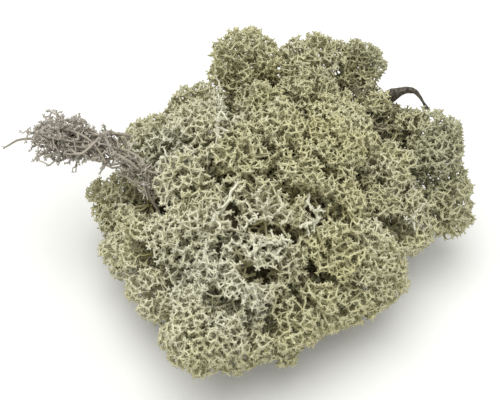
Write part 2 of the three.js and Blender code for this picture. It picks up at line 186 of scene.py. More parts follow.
print("the first of six directions:", even_directions(6)[0].round(2))

# %% Bridge the dips between heads
BRIDGE_REACH = 13  # how near a neighbour has to be for the dip to fill
BRIDGE_FILL = 3.25  # how far one touching neighbour raises the skin
MOST_BRIDGE = 4


def bridged(places, number):
    """How much further out the skin lies at some places on a head, because its neighbours are near."""
    apart = lengths(places[:, None] - MIDDLES)[..., 0] - RADII
    apart[:, number] = BRIDGE_REACH
    share = np.clip(1 - apart / BRIDGE_REACH, 0, 1)
    return np.minimum((share**2).sum(axis=1) * BRIDGE_FILL, MOST_BRIDGE)


neighbour = lengths(MIDDLES - MIDDLES[0])[:, 0].argsort()[1]
halfway = (MIDDLES[0] + MIDDLES[neighbour]) / 2
raised = bridged(halfway[None], 0)[0].round(2)
print("halfway to its nearest neighbour the first head's skin is raised by", raised, "mm")

# %% Find candidates
CANDIDATES = 5200
INNER_SHARE = 0.4
INNER_LAYER = (0.3, 0.93)  # the inner candidates' range, as shares of a head's reach
OUTER_LAYER = (0.96, 1)
DEEPEST_STAR = 8.5
LEAST_REACH = 0.6  # directions where a head reaches less than this share of its radius stay bare
LOWEST_STAR = 2.2  # above the floor


class Candidates:
    """Places where a star may open, with each one's head, way out, depth under the skin and layer."""

    def __init__(self):
        self.places, self.owners, self.ways, self.depths, self.inner = [], [], [], [], []

    def add_head(self, number, head):
        """Adds the candidates of one head."""
        ways = strayed_directions(CANDIDATES)
        reach = head.reach(ways)
        reach += bridged(head.middle + ways * reach[:, None], number)
        inner = random.random(CANDIDATES) < INNER_SHARE
        further_in = random.uniform(*INNER_LAYER, CANDIDATES)
        share = np.where(inner, further_in, random.uniform(*OUTER_LAYER, CANDIDATES))
        found = head.middle + ways * (reach * share)[:, None]
        powers = ((found[:, None] - MIDDLES) ** 2).sum(axis=2) - RADII**2
        depth = np.maximum(0, head.radius - reach * share)
        keep = (powers.argmin(axis=1) == number) & (reach > LEAST_REACH * head.radius)
        keep &= (inner | (depth < DEEPEST_STAR)) & (found[:, 2] > LOWEST_STAR)
        self.places.append(found[keep])
        self.ways.append(ways[keep])
        self.owners.append(np.full(keep.sum(), number))
        self.depths.append(depth[keep])
        self.inner.append(inner[keep])

    def close(self):
        """Turns the lists into one array each."""
        for name in ("places", "owners", "ways", "depths", "inner"):
            setattr(self, name, np.concatenate(getattr(self, name)))


candidates = Candidates()
for number, head in enumerate(heads.values()):
    candidates.add_head(number, head)
candidates.close()
print("candidates:", len(candidates.places), "of which inner:", candidates.inner.sum())

# %% [markdown]
# ## Sub-tufts and hollows
#
# A head isn't evenly round. Each of its main branches carries a small tuft a bit over a centimetre wide,
# with a shallow dip round it. Noise could press in dips too, but they would wander and never close into
# small rounds. So some candidates are picked as the middles of sub-tufts. Where two middles are nearly as
# far from a place, that place lies in a dip. Where three are, the skin stays open as a dark hole. A few
# larger hollows are listed one by one, where whole heads stand apart.

# %% Open the hollows
HOLLOW_DEPTH = 18
HOLLOW_HEART = np.array([0.0, 0.0, 15.0])  # the hollows run towards it
MOUTHS = 6  # a long hollow is a row of so many round ones
SHADE_WIDTH = 4
SHADE_DEPTH = 12
HOLLOWS = [  # the two ends of the mouth, and its half width
    ((-18, -28, 89), (-3, -37, 83), 3.8),
    ((-9, -42, 82), (4, -53, 75), 4.4),
    ((-43, -37, 84), (-28, -46, 82), 3.2),
    ((-58, -42, 81), (-58, -44, 80), 3),
    ((-59, -53, 77), (-50, -58, 72), 4),
    ((34, -58, 56), (42, -60, 52), 8),
    ((-78, -51, 69), (-72, -59, 67), 3.8),
    ((-64, 18, 60), (-68, 34, 58), 5.5),
    ((-28, 49, 84), (-22, 52, 82), 3.5),
    ((70, 24, 78), (76, 19, 76), 5.5),
    ((8, 58, 82), (14, 50, 82), 3.2),
    ((40, 15, 88), (43, 25, 82), 3),
    ((33, -38, 78), (41, -32, 72), 3.4),
    ((1, -9, 93), (2, -8, 93), 2.7),
    ((-10, -6, 94), (-8, -4, 94), 2.2),
    ((-21, 0, 94), (-21, 2, 94), 2),
    ((-42, 6, 89), (-40, -4, 89), 3),
    ((-85, -5, 57), (-84, -1, 57), 6),
]


def from_mouths(places):
    """How deep some places lie under each mouth of a hollow, and how far outside its rim."""
    for start, end, radius in HOLLOWS:
        for mouth in np.linspace(start, end, MOUTHS):
            inward = HOLLOW_HEART - mouth
            inward /= np.linalg.norm(inward)
            away = places - mouth
            along = away @ inward
            yield along, lengths(away - along[:, None] * inward)[:, 0] - radius


def in_hollow(places):
    """Whether each place lies in one of the listed hollows."""
    inside = np.zeros(len(places), bool)
    for deep, outside in from_mouths(places):
        inside |= (outside < 0) & (abs(deep) < HOLLOW_DEPTH)
    return inside


def hollow_shade(places):
    """How far down a hollow some places lie, from 0 at its rim to 1."""
    shade = np.zeros(len(places))
    for deep, outside in from_mouths(places):
        here = np.clip(1 - outside / SHADE_WIDTH, 0, 1) * np.clip(deep / SHADE_DEPTH, 0, 1)
        shade = np.maximum(shade, here)
    return shade


print("candidates in hollows:", in_hollow(candidates.places).sum())


# %% Thin out points
def tree_of(points):
    """A search tree over some points."""
    tree = KDTree(len(points))
    for i, point in enumerate(points):
        tree.insert(point, i)
    tree.balance()
    return tree


def thinned(points, spacings, first=None):
    """The indices of some of the points, none closer to another than its own spacing.

    They are picked at random, but all that are marked as first come before the rest.
    """
    tree = tree_of(points)
    order = random.permutation(len(points))
    if first is not None:
        order = np.concatenate([order[first[order]], order[~first[order]]])
    free = np.ones(len(points), bool)
    picked = []
    for i in order:
        if free[i]:
            picked.append(i)
            for _, near, _ in tree.find_range(points[i], spacings[i]):
                free[near] = False
    return np.array(picked)


middles_tree = tree_of(MIDDLES)
closest = min(middles_tree.find_n(middle, 2)[1][2] for middle in MIDDLES)
print("the two closest heads:", round(closest, 1), "mm from middle to middle")

# %% Press in the dips
TUFT_SPACING = 11
DIP_WIDTH = 4.5
DIP_DEPTH = 4.6
TUFT_UNEVEN = 1.6  # how far whole sub-tufts stand higher or lower than the rest
UNEVEN_RANGE = (-1.5, 3.5)
HOLE_WIDTH = 2.2


def press_dips():
    """Moves the candidates between sub-tufts inwards, and says which of them lie in no hole or hollow."""
    skin = candidates.places[~candidates.inner]
    picked = skin[thinned(skin, np.full(len(skin), TUFT_SPACING))]
    middles = tree_of(picked)
    found = [middles.find_n(place, 3) for place in candidates.places]
    nearest = np.array([[one[2] for one in three] for three in found])
    lowered = np.clip(random.normal(0, TUFT_UNEVEN, len(picked)), *UNEVEN_RANGE)
    dip = DIP_DEPTH * np.clip(1 - (nearest[:, 1] - nearest[:, 0]) / DIP_WIDTH, 0, 1)
    dip += lowered[[three[0][1] for three in found]]
    candidates.places -= candidates.ways * dip[:, None]
    candidates.depths += dip
    hole = nearest[:, 2] - nearest[:, 0] < HOLE_WIDTH
    dropped = hole & ~candidates.inner | in_hollow(candidates.places)
    return ~dropped & (candidates.places[:, 2] > LOWEST_STAR)


allowed = press_dips()
print("candidates left:", allowed.sum())

# %% [markdown]
# ## Thinning the candidates
#
# Dart throwing makes an even cover without rows: a candidate is taken at random, and all that are closer to
# it than its spacing are struck out. The spacing isn't the same everywhere. Real plants grow coarser in
# some places than in others. Deep stars may stand further apart, because less of them shows, but not in a
# head that stands free, where the light would shine through. The grey tuft is more open than the pale
# heads.

# %% Measure how coarse and how crowded a place is
CROWD_REACH = 42
FREE_COUNT = 4  # heads within that reach, its own among them
CROWD_COUNT = 8
LOW_MIDDLE = 50  # heads lower than this stand before the dark middle
PATCH_SIZE = 26
UNEVEN_GROWTH = 0.22
COARSE_PATCHES = [  # place, radius and how much coarser or finer
    ((-44, 26, 84), 26, 0.38),
    ((-52, -30, 84), 30, 0.3),
    ((55, -5, 80), 26, -0.14),
    ((20, 45, 95), 24, -0.1),
]


def coarseness(places):
    """How coarse the net is at some places, about 1, changing slowly over the clump."""
    values = 1 + UNEVEN_GROWTH * np.array([noise.noise(Vector(place / PATCH_SIZE)) for place in places])
    for middle, radius, amount in COARSE_PATCHES:
        values += amount * np.exp(-((places - np.array(middle)) ** 2).sum(axis=1) / radius**2)
    return values


def crowding(places):
    """How crowded the heads stand round some places, from 0 to 1. Low ones count as crowded."""
    near = (lengths(places[:, None] - MIDDLES)[..., 0] < CROWD_REACH).sum(axis=1)
    share = np.clip((near - FREE_COUNT) / (CROWD_COUNT - FREE_COUNT), 0, 1)
    return np.where(places[:, 2] < LOW_MIDDLE, 1, share)


print("heads that stand free:", (crowding(MIDDLES) < 0.5).sum())

# %% Pick the stars
STAR_SPACING = 2.65
GREY_SPACING = 3.1
SPACING_WITH_DEPTH = 0.1  # wider by this much for each millimetre under the skin, in a crowded head
FREE_SPACING = 0.88  # of that of a crowded head
# painted shade: deeper stars get this much more age for each millimetre under the skin, up to the next value
SHADE_WITH_DEPTH = 0.02
DARKEST_DEPTH_SHADE = 0.5


class Stars:
    """The stars of one head: their places, and the painted shade each gets for its depth, kept as an age."""

    def __init__(self, places, ages):
        self.places = places
        self.ages = ages


def pick_stars():
    """The stars of each head, by its name."""
    places = candidates.places[allowed]
    owners = candidates.owners[allowed]
    depths = candidates.depths[allowed]
    nearest = np.where(owners == len(heads) - 1, GREY_SPACING, STAR_SPACING)
    crowd = crowding(MIDDLES)[owners]
    nearest *= FREE_SPACING + (1 - FREE_SPACING) * crowd
    spacings = (nearest + SPACING_WITH_DEPTH * crowd * depths) * coarseness(places)
    picked = thinned(places, spacings, ~candidates.inner[allowed])
    # deeper stars are painted darker through their age: painted shade
    ages = np.minimum(DARKEST_DEPTH_SHADE, SHADE_WITH_DEPTH * depths)
    chosen = {}
    for number, name in enumerate(heads):
        own = picked[owners[picked] == number]
        chosen[name] = Stars(places[own], ages[own])
    return chosen


stars = pick_stars()
print("stars:", sum(len(one.places) for one in stars.values()))

# %% [markdown]
# ## A side tuft at the twig
#
# The twig doesn't stand on the skin. It comes up from between the heads, and a small side tuft of the
# nearest head closes in front of its foot. A piece of its own would stay loose there. So that head gets
# some more stars, in a small ball, and they grow back to the same root as its others.

# %% Close the moss round the twig's foot
SIDE_TUFT_PLACE = np.array([77.0, 3.0, 76.0])
SIDE_TUFT_RADIUS = 7
SIDE_TUFT_LAYER = (0.5, 1)  # of its radius
SIDE_TUFT_CANDIDATES = 900
SIDE_TUFT_AGE = 0.05


def add_side_tuft():
    """Gives the head next to the twig a side tuft that stands in front of the twig's foot."""
    name = min(HEAD_NAMES, key=lambda name: np.linalg.norm(heads[name].middle - SIDE_TUFT_PLACE))
    share = random.uniform(*SIDE_TUFT_LAYER, (SIDE_TUFT_CANDIDATES, 1))
    found = SIDE_TUFT_PLACE + even_directions(SIDE_TUFT_CANDIDATES) * share * SIDE_TUFT_RADIUS
    found = found[thinned(found, np.full(len(found), STAR_SPACING))]
    stars[name].places = np.concatenate([stars[name].places, found])
    stars[name].ages = np.concatenate([stars[name].ages, np.full(len(found), SIDE_TUFT_AGE)])
    return name, len(found)


print("side tuft's head and stars:", add_side_tuft())

# %% [markdown]
# ## Growing the branches
#
# Branches could be grown from the stem outwards, but then their ends fall where they like. Growing them
# backwards keeps the ends where the skin needs them. Each round moves the ends a step towards the head's
# root and joins neighbours in a shared joint, so three or four ends meet in one, as they do in the real
# plant. After four rounds a few main branches are left, and they meet at the root.
#
# The result is stored as chains: lists of points with a radius and an age at each. A chain follows one
# branch from its joint out to its star, and the side branches start chains of their own.


# %% Set the habits
class Habit:
    """How a plant grows, in millimetres, from its stars inwards to its root."""

    def __init__(self, steps, spacings, radii, ages, bow, wander):
        self.steps = steps  # how far each round of joints lies further in
        self.spacings = spacings  # how far the joints of a round lie apart
        self.radii = radii  # at the stars, at each round of joints and at the root
        self.ages = ages  # 0 is fresh and pale, and 1 is old and brown
        self.bow = bow  # how far a branch swings out before it turns up, as a share of its length
        self.wander = wander  # how far it strays at random, likewise


HEAD_HABIT = Habit(
    steps=[1.9, 3.3, 4.4, 4.8],
    spacings=[5.4, 8.8, 12.5, 18],
    radii=[0.62, 0.66, 0.76, 0.9, 1.05, 1.2],
    ages=[0, 0.05, 0.15, 0.35, 0.6, 0.85],
    bow=0.2,
    wander=0.09,
)
GREY_HABIT = Habit(
    steps=[2, 3, 4, 5],
    spacings=[4.2, 6.5, 9, 12],
    radii=[0.44, 0.5, 0.56, 0.62, 0.7, 0.76],
    ages=[0, 0.06, 0.15, 0.3, 0.5, 0.8],
    bow=0.28,
    wander=0.18,
)
print("rounds of joints in a head:", len(HEAD_HABIT.steps))

# %% Keep chains
LOWEST_POINT = 1.2  # above the floor


class Chains:
    """Points that become tubes, chain after chain, with what each point has."""

    def __init__(self):
        self.points, self.radii, self.ages, self.edges = [], [], [], []
        self.ends, self.end_ways = [], []

    def add(self, points, radii, ages, star=True):
        """Adds a chain. Where star is set, its last point carries a star."""
        points[:, 2] = np.maximum(points[:, 2], LOWEST_POINT)
        first = len(self.points)
        self.points.extend(points)
        self.radii.extend(radii)
        self.ages.extend(ages)
        self.edges.extend((i, i + 1) for i in range(first, len(self.points) - 1))
        if star:
            way = points[-1] - points[-2]
            self.ends.append(len(self.points) - 1)
            self.end_ways.append(way / np.linalg.norm(way))


straight = Chains()
straight.add(np.array([[0.0, 0.0, 5.0], [0.0, 0.0, 8.0]]), HEAD_HABIT.radii[:2], HEAD_HABIT.ages[:2])
print("a chain of two points:", len(straight.edges), "stretch and", len(straight.ends), "star")


# %% Join branches inwards
MOST_OF_WAY = 0.6  # a step goes no further than this share of the way that is left to the root


def joined(children, root, step, spacing):
    """One round of joints for some branch ends: the joints, and which of them each end grows from."""
    inward = root - children
    distance = lengths(inward)
    moved = children + inward / distance * np.minimum(step, MOST_OF_WAY * distance)
    picked = tree_of(moved[thinned(moved, np.full(len(moved), spacing))])
    owners = np.array([picked.find(point)[1] for point in moved])
    counts = np.bincount(owners)
    sums = np.stack([np.bincount(owners, moved[:, k]) for k in range(3)], axis=1)
    return sums / counts[:, None], owners


def join_up(tips, root, habit):
    """Every point of a plant from its tips down to its root, each one's parent, and its round."""
    rounds, owners = [tips], []
    for step, spacing in zip(habit.steps, habit.spacings):
        joints, owner = joined(rounds[-1], root, step, spacing)
        rounds.append(joints)
        owners.append(owner)
    rounds.append(root[None])
    owners.append(np.zeros(len(rounds[-2]), int))
    starts = np.cumsum([len(points) for points in rounds])
    parents = np.concatenate([owner + start for owner, start in zip(owners, starts)])
    order = np.repeat(np.arange(len(rounds)), [len(points) for points in rounds])
    return np.concatenate(rounds), parents, order


# %% Bend the branches
def swung(points, parents, root, habit):
    """A place halfway along each branch, where it swings out and strays, and how straight it runs out."""
    start, end = points[parents], points[:-1]
    along = end - start
    outward = start - root
    outward /= np.maximum(lengths(outward), 1e-6)
    sideways = along - (along * outward).sum(axis=1, keepdims=True) * outward
    stray = random.normal(0, habit.wander, along.shape) * lengths(along)
    halfway = (start + end) / 2 + habit.bow * sideways + stray
    return halfway, (along * outward).sum(axis=1) / lengths(along)[:, 0]


def leaders(parents, straightness, count):
    """For each joint the branch that its chain runs on through: the straightest."""
    leader = np.full(count, -1)
    for branch in np.argsort(straightness):
        leader[parents[branch]] = branch
    return leader


print("of three branches the chain takes number", leaders(np.zeros(3, int), np.array([0.2, 0.5, 0.9]), 1)[0])

# %% Follow the branches outwards
UNEVEN_RADIUS = (0.86, 1.14)
MOST_FLARE = 1.25  # how much thicker a chain may start than it goes on
ROOT_DEPTH = 0.45  # of a head's radius, under its middle


def grow(tips, tip_ages_and_shade, root, habit, chains):
    """Grows branches back from some tips to the root, and adds their chains."""
    points, parents, order = join_up(tips, root, habit)
    radii = np.array(habit.radii)[order] * random.uniform(*UNEVEN_RADIUS, len(points))
    ages = np.array(habit.ages)[order]
    # the tips' ages carry their painted shade too
    ages[: len(tips)] += tip_ages_and_shade
    halfway, straightness = swung(points, parents, root, habit)
    leader = leaders(parents, straightness, len(points))
    for branch in range(len(points) - 1):
        joint = parents[branch]
        if leader[joint] == branch and joint != len(points) - 1:
            continue
        spine, age = [points[joint]], [ages[joint]]
        thickness = [min(radii[joint], MOST_FLARE * radii[branch])]
        while branch >= 0:
            spine += [halfway[branch], points[branch]]
            thickness += [(thickness[-1] + radii[branch]) / 2, radii[branch]]
            age += [(age[-1] + ages[branch]) / 2, ages[branch]]
            branch = leader[branch]
        chains.add(np.array(spine), thickness, age)


def root_of(head):
    """Where a head's branches meet, low in its knot."""
    return head.middle - head.facing * ROOT_DEPTH * head.radius


trial = Chains()
grow(stars["head_01"].places, stars["head_01"].ages, root_of(heads["head_01"]), HEAD_HABIT, trial)
print("one head:", len(trial.ends), "stars,", len(trial.edges), "stretches of branch")

# %% [markdown]
# ## Knitting the skin
#
# The prongs of neighbouring stars hook into one another, so the skin is a net and not a row of loose tips.
# Modelling each hook would take far too many faces. Short cross pieces between each outer star and its two
# nearest neighbours make the same net with few. Deeper stars do without.

# %% Knit neighbouring stars
KNITS = 2  # to this many neighbours
LONGEST_KNIT = 4.4
KNIT_STRAY = 0.35
KNIT_WAIST = 0.8  # the thickness of its middle, as a share of that of its ends
DARKEST_KNIT = 0.13  # the painted depth shade, kept as an age, of the deepest stars that are still knitted


def knit(tips, ages, radius, chains):
    """Short cross pieces from each outer tip to its nearest neighbours."""
    near_skin = ages < DARKEST_KNIT
    tips, ages = tips[near_skin], ages[near_skin]
    tree = tree_of(tips)
    knits = set()
    for i, tip in enumerate(tips):
        near = [k for _, k, distance in tree.find_n(tip, 1 + KNITS) if 0 < distance < LONGEST_KNIT]
        knits |= {(min(i, k), max(i, k)) for k in near}
    for i, k in sorted(knits):
        middle = (tips[i] + tips[k]) / 2 + random.normal(0, KNIT_STRAY, 3)
        spine = np.array([tips[i], middle, tips[k]])
        age = (ages[i] + ages[k]) / 2
        chains.add(spine, [radius, KNIT_WAIST * radius, radius], [age] * 3, star=False)


knit(stars["head_01"].places, stars["head_01"].ages, HEAD_HABIT.radii[0], trial)
print("the same head, knitted:", len(trial.edges), "stretches")

# %% [markdown]
# ## How the clump has weathered
#
# Dry lichen keeps a pale yellow where it lay in the light, turns grey-green where it stayed damp, and
# bleaches nearly white where it is oldest. These changes go from one side of the clump to the other, and
# each plant also has a share of its own. So every point gets three numbers, for yellowed, greyed and
# bleached, from a few listed patches. The finish mixes its colours by them.

# %% Weather the points
PATCHES = [  # place, radius, then how much yellowed, greyed and bleached
    ((25, -16, 90), 38, (0.35, 0.0, 0.0)),
    ((50, -38, 82), 26, (0.2, 0.0, 0.0)),
    ((60, -8, 82), 22, (0.2, 0.0, 0.0)),
    ((21, 22, 90), 26, (0.3, 0.0, 0.0)),
    ((7, 58, 96), 24, (0.0, 0.5, 0.0)),
    ((85, 27, 88), 24, (0.2, 0.45, 0.0)),
    ((82, -39, 86), 24, (0.0, 0.7, 0.1)),
    ((90, -47, 45), 34, (0.0, 0.5, 0.0)),
    ((-36, 75, 70), 26, (0.0, 0.6, 0.0)),
    ((-46, 34, 75), 26, (0.0, 0.1, 0.65)),
    ((-75, -21, 65), 32, (0.0, 0.0, 0.5)),
    ((-66, -56, 65), 26, (0.0, 0.0, 0.45)),
    ((-38, -34, 88), 20, (0.0, 0.05, 0.4)),
    ((-4, 35, 90), 14, (0.0, 0.2, 0.5)),
]
OWN_SHARE = 0.12


def weathered(points):
    """How much some points have yellowed, greyed and bleached, as three columns."""
    amounts = np.zeros((len(points), 3))
    for place, radius, shares in PATCHES:
        near = np.exp(-(lengths(points - np.array(place)) ** 2) / radius**2)
        amounts += near * np.array(shares)
    return amounts


print("weathering at the top:", weathered(np.array([[0.0, 0.0, 95.0]])).round(2))

# %% [markdown]
# ## A finish for lichen
#
# The lichen is dry and matt like felt. Its colour comes from its age, from how it has weathered, and from
# small blotches along each branchlet. The age also carries painted shade: it is raised deep under the skin,
# down in the hollows and under crowded heads, so those places are painted darker. All of that is one shader
# group with named inputs, because the pale heads, the grey tuft and the old stems use it with their own
# colours. Noises over the place soften the patches' rims.


# %% Wire shader nodes
def mixed(tree, factor, first, second, kind="MIX"):
    """A node that mixes two colours. The three may be sockets or plain values."""
    node = tree.nodes.new("ShaderNodeMix")
    node.data_type = "RGBA"
    node.blend_type = kind
    for socket, value in ((node.inputs[0], factor), (node.inputs[6], first), (node.inputs[7], second)):
        if isinstance(value, bpy.types.NodeSocket):
            tree.links.new(value, socket)
        else:
            socket.default_value = value
    return node.outputs[2]


def noise_at(tree, scale, detail=2.0):
    """A noise over the place on the piece, from about 0 to 1."""
    place = tree.nodes.new("ShaderNodeTexCoord")
    node = tree.nodes.new("ShaderNodeTexNoise")
    node.inputs["Scale"].default_value = scale
    node.inputs["Detail"].default_value = detail
    tree.links.new(place.outputs["Object"], node.inputs["Vector"])
    return node.outputs["Fac"]


def ramped(tree, value, low, high):
    """Stretches a value so that low becomes 0 and high becomes 1."""
    node = tree.nodes.new("ShaderNodeMapRange")
    tree.links.new(value, node.inputs["Value"])
    node.inputs["From Min"].default_value = low
    node.inputs["From Max"].default_value = high
    return node.outputs["Result"]


def added(tree, first, second):
    """The sum of two values."""
    node = tree.nodes.new("ShaderNodeMath")
    tree.links.new(first, node.inputs[0])
    tree.links.new(second, node.inputs[1])
    return node.outputs[0]


def attribute(tree, name):
    """A node that reads a stored attribute."""
    node = tree.nodes.new("ShaderNodeAttribute")
    node.attribute_name = name
    return node


# %% Build the lichen group
PATCH_NOISES = {"Yellowed": 55, "Greyed": 38, "Bleached": 80}  # their scales
PATCH_RANGE = (0.5, 1.15)  # from none of a patch's colour to all of it, with the noise added
BLOTCH_NOISE = 420
BLOTCH_RANGE = (0.3, 0.7)
BLOTCH_SHADES = ((0.8, 0.79, 0.74, 1), (1.08, 1.08, 1.08, 1))
AGE_RANGE = (0.02, 0.85)
FELT_NOISE = 2600


def lichen_group():
    """Colours lichen by age with its painted shade, by weathering and place, and gives the height of its
    felt.
    """
    group = bpy.data.node_groups.new("lichen_colour", "ShaderNodeTree")
    for name in ("Fresh", "Yellowed", "Greyed", "Bleached", "Old"):
        group.interface.new_socket(name, in_out="INPUT", socket_type="NodeSocketColor")
    group.interface.new_socket("Color", in_out="OUTPUT", socket_type="NodeSocketColor")
    group.interface.new_socket("Height", in_out="OUTPUT", socket_type="NodeSocketFloat")
    given = group.nodes.new("NodeGroupInput").outputs
    leave = group.nodes.new("NodeGroupOutput")

    parts = group.nodes.new("ShaderNodeSeparateXYZ")
    group.links.new(attribute(group, "weather").outputs["Vector"], parts.inputs[0])
    color = given["Fresh"]
    for part, (name, scale) in zip(parts.outputs, PATCH_NOISES.items()):
        amount = ramped(group, added(group, part, noise_at(group, scale)), *PATCH_RANGE)
        color = mixed(group, amount, color, given[name])
    blotch = ramped(group, noise_at(group, BLOTCH_NOISE, 3), *BLOTCH_RANGE)
    color = mixed(group, 1.0, color, mixed(group, blotch, *BLOTCH_SHADES), "MULTIPLY")
    age = ramped(group, attribute(group, "age").outputs["Fac"], *AGE_RANGE)
    # the age mixes in the old colour, which also paints the shade that the age carries
    color = mixed(group, age, color, given["Old"])
    group.links.new(color, leave.inputs["Color"])
    group.links.new(noise_at(group, FELT_NOISE, 1), leave.inputs["Height"])
    return group


LICHEN = lichen_group()
print("nodes in the lichen group:", len(LICHEN.nodes))

# %% Mix the three lichen finishes
FELT_BUMP = 0.35
FELT_HEIGHT = 0.0002  # metres
LICHEN_ROUGHNESS = 0.88
LICHEN_GLOSS = 0.25


def lichen_material(name, **colours):
    """A matt finish from the lichen group with its own colours."""
    material = bpy.data.materials.new(name)
    material.use_nodes = True
    tree = material.node_tree
    surface = tree.nodes["Principled BSDF"]
    group = tree.nodes.new("ShaderNodeGroup")
    group.node_tree = LICHEN
    for socket, value in colours.items():
        group.inputs[socket].default_value = (*value, 1)
    bump = tree.nodes.new("ShaderNodeBump")
    bump.inputs["Strength"].default_value = FELT_BUMP
    bump.inputs["Distance"].default_value = FELT_HEIGHT
    tree.links.new(group.outputs["Height"], bump.inputs["Height"])
    tree.links.new(group.outputs["Color"], surface.inputs["Base Color"])
    tree.links.new(bump.outputs["Normal"], surface.inputs["Normal"])
    surface.inputs["Roughness"].default_value = LICHEN_ROUGHNESS
    surface.inputs["Specular IOR Level"].default_value = LICHEN_GLOSS
    return material


PALE_LICHEN = lichen_material(
    "pale_lichen",
    Fresh=(0.65, 0.625, 0.4),
    Yellowed=(0.67, 0.635, 0.36),
    Greyed=(0.5, 0.5, 0.33),
    Bleached=(0.74, 0.735, 0.58),
    # old growth's colour, also used as the painted shade of deep places
    Old=(0.36, 0.325, 0.12),
)
GREY_LICHEN = lichen_material(
    "grey_lichen",
    Fresh=(0.53, 0.495, 0.43),
    Yellowed=(0.44, 0.39, 0.3),
    Greyed=(0.48, 0.455, 0.41),
    Bleached=(0.55, 0.52, 0.44),
    Old=(0.32, 0.28, 0.215),
)
OLD_LICHEN = lichen_material(
    "old_lichen",
    Fresh=(0.44, 0.41, 0.26),
    Yellowed=(0.42, 0.37, 0.2),
    Greyed=(0.38, 0.38, 0.27),
    Bleached=(0.55, 0.53, 0.4),
    Old=(0.1, 0.08, 0.035),
)
print("materials:", ", ".join(material.name for material in bpy.data.materials))

# %% [markdown]
# ## One star
#
# Under a lens the last fork opens into about four blunt prongs. They lean out so far that neighbouring
# stars nearly touch. One star is modelled once, for a branch of radius 1, as a closed skin of 22 triangles:
# each prong is a wedge from the star's foot and crown to a short blunt edge. That is few, because there are
# over fifteen thousand stars. The prongs differ in length and turn, so that the many copies, each spun and
# scaled at random, don't look alike.

# %% Shape a prong
PRONG_LEAN = math.radians(66)  # from the branch's own direction
PRONG_LIFT = 0.16  # how much higher it ends than its lean gives, as a share of its length
PRONG_END = 0.66  # half the width of a prong's blunt end


def prong_end(turn, length):
    """The two points at the end of a prong."""
    across = Vector((-math.sin(turn), math.cos(turn), 0)) * PRONG_END
    out = Vector((math.cos(turn), math.sin(turn), 0)) * math.sin(PRONG_LEAN)
    middle = (out + Vector((0, 0, math.cos(PRONG_LEAN) + PRONG_LIFT))) * length
    return [middle - across, middle + across]


print("a prong of length 1 ends at a height of", round(prong_end(0, 1)[0].z, 2))

# %% Model the star
PRONG_TURNS = [0, 97, 174, 275]  # degrees
PRONG_LENGTHS = [2.6, 2.1, 2.8, 2.3]
CROWN_HEIGHT = 0.9


def mesh_object(name, points, faces=(), edges=()):
    """A new object in the scene from points in metres."""
    mesh = bpy.data.meshes.new(name)
    mesh.from_pydata([tuple(point) for point in points], [tuple(edge) for edge in edges], faces)
    shaped = bpy.data.objects.new(name, mesh)
    bpy.context.scene.collection.objects.link(shaped)
    return shaped


def star():
    """A closed star for a branch of radius 1, with its foot at the origin."""
    turns = [math.radians(turn) for turn in PRONG_TURNS]
    count = len(turns)
    before = [turns[-1] - 2 * math.pi, *turns[:-1]]
    borders = [(last + turn) / 2 for last, turn in zip(before, turns)]
    points = [Vector((math.cos(turn), math.sin(turn), 0)) for turn in borders]
    points.append(Vector((0, 0, CROWN_HEIGHT)))
    faces = [tuple(reversed(range(count)))]
    for k, (turn, length) in enumerate(zip(turns, PRONG_LENGTHS)):
        right, left, crown = k, (k + 1) % count, count
        end = len(points)
        points += prong_end(turn, length)
        faces.append((right, left, end + 1, end))
        faces += [(left, crown, end + 1), (crown, right, end), (crown, end, end + 1)]
    shaped = mesh_object("star", points, faces)
    form = bmesh.new()
    form.from_mesh(shaped.data)
    bmesh.ops.recalc_face_normals(form, faces=form.faces)
    form.to_mesh(shaped.data)
    print("triangles in a star:", len(form.calc_loop_triangles()))
    print("open edges in a star:", sum(not edge.is_manifold for edge in form.edges))
    form.free()
    return shaped


STAR = star()

# %% [markdown]
# ## From chains to branchlets
#
# A Geometry Nodes tree turns chains into surfaces, because it lays thousands of tubes at once. It makes
# each chain a curve and sweeps a small polygon along it, which the stored thickness scales at every point.
# Then it puts a star on every chain's end, turned along the branch, spun by a random angle and scaled a
# little unevenly. The tree ends in plain mesh with its material.


# %% Wire geometry nodes
def node_of(tree, kind, **inputs):
    """A new node with some of its inputs linked to a socket or set to a value."""
    node = tree.nodes.new(kind)
    for name, value in inputs.items():
        socket = node.inputs[name.replace("_", " ")]
        if isinstance(value, bpy.types.NodeSocket):
            tree.links.new(value, socket)
        else:
            socket.default_value = value
    return node


def stored(tree, name, kind="FLOAT"):
    """Reads a named attribute."""
    node = node_of(tree, "GeometryNodeInputNamedAttribute", Name=name)
    node.data_type = kind
    return next(socket for socket in node.outputs if socket.enabled)


# %% Turn and scale the stars
SMALLEST_STAR = (0.85, 0.85, 0.7)  # shares of its modelled width, depth and height
LARGEST_STAR = (1.2, 1.2, 1.35)


def star_turns(tree, seed):
    """The rotation of each star: along its branch, and spun at random."""
    spin = tree.nodes.new("FunctionNodeRandomValue")
    spin.data_type = "FLOAT"
    spin.inputs[3].default_value = 2 * math.pi
    tree.links.new(seed, spin.inputs["Seed"])
    spun = node_of(tree, "FunctionNodeAxisAngleToRotation", Angle=spin.outputs[1]).outputs[0]
    aligned = node_of(tree, "FunctionNodeAlignRotationToVector", Vector=stored(tree, "way", "FLOAT_VECTOR"))
    turned = node_of(tree, "FunctionNodeRotateRotation", Rotation=aligned.outputs[0], Rotate_By=spun)
    turned.rotation_space = "LOCAL"
    return turned.outputs[0]


def star_scales(tree, size):
    """The scale of each star: its branch's radius, times a size, a little uneven."""
    uneven = tree.nodes.new("FunctionNodeRandomValue")
    uneven.data_type = "FLOAT_VECTOR"
    uneven.inputs[0].default_value = SMALLEST_STAR
    uneven.inputs[1].default_value = LARGEST_STAR
    whole = tree.nodes.new("ShaderNodeMath")
    whole.operation = "MULTIPLY"
    tree.links.new(stored(tree, "thickness"), whole.inputs[0])
    tree.links.new(size, whole.inputs[1])
    scaled = tree.nodes.new("ShaderNodeVectorMath")
    scaled.operation = "SCALE"
    tree.links.new(uneven.outputs[0], scaled.inputs[0])
    tree.links.new(whole.outputs[0], scaled.inputs["Scale"])
    return scaled.outputs[0]


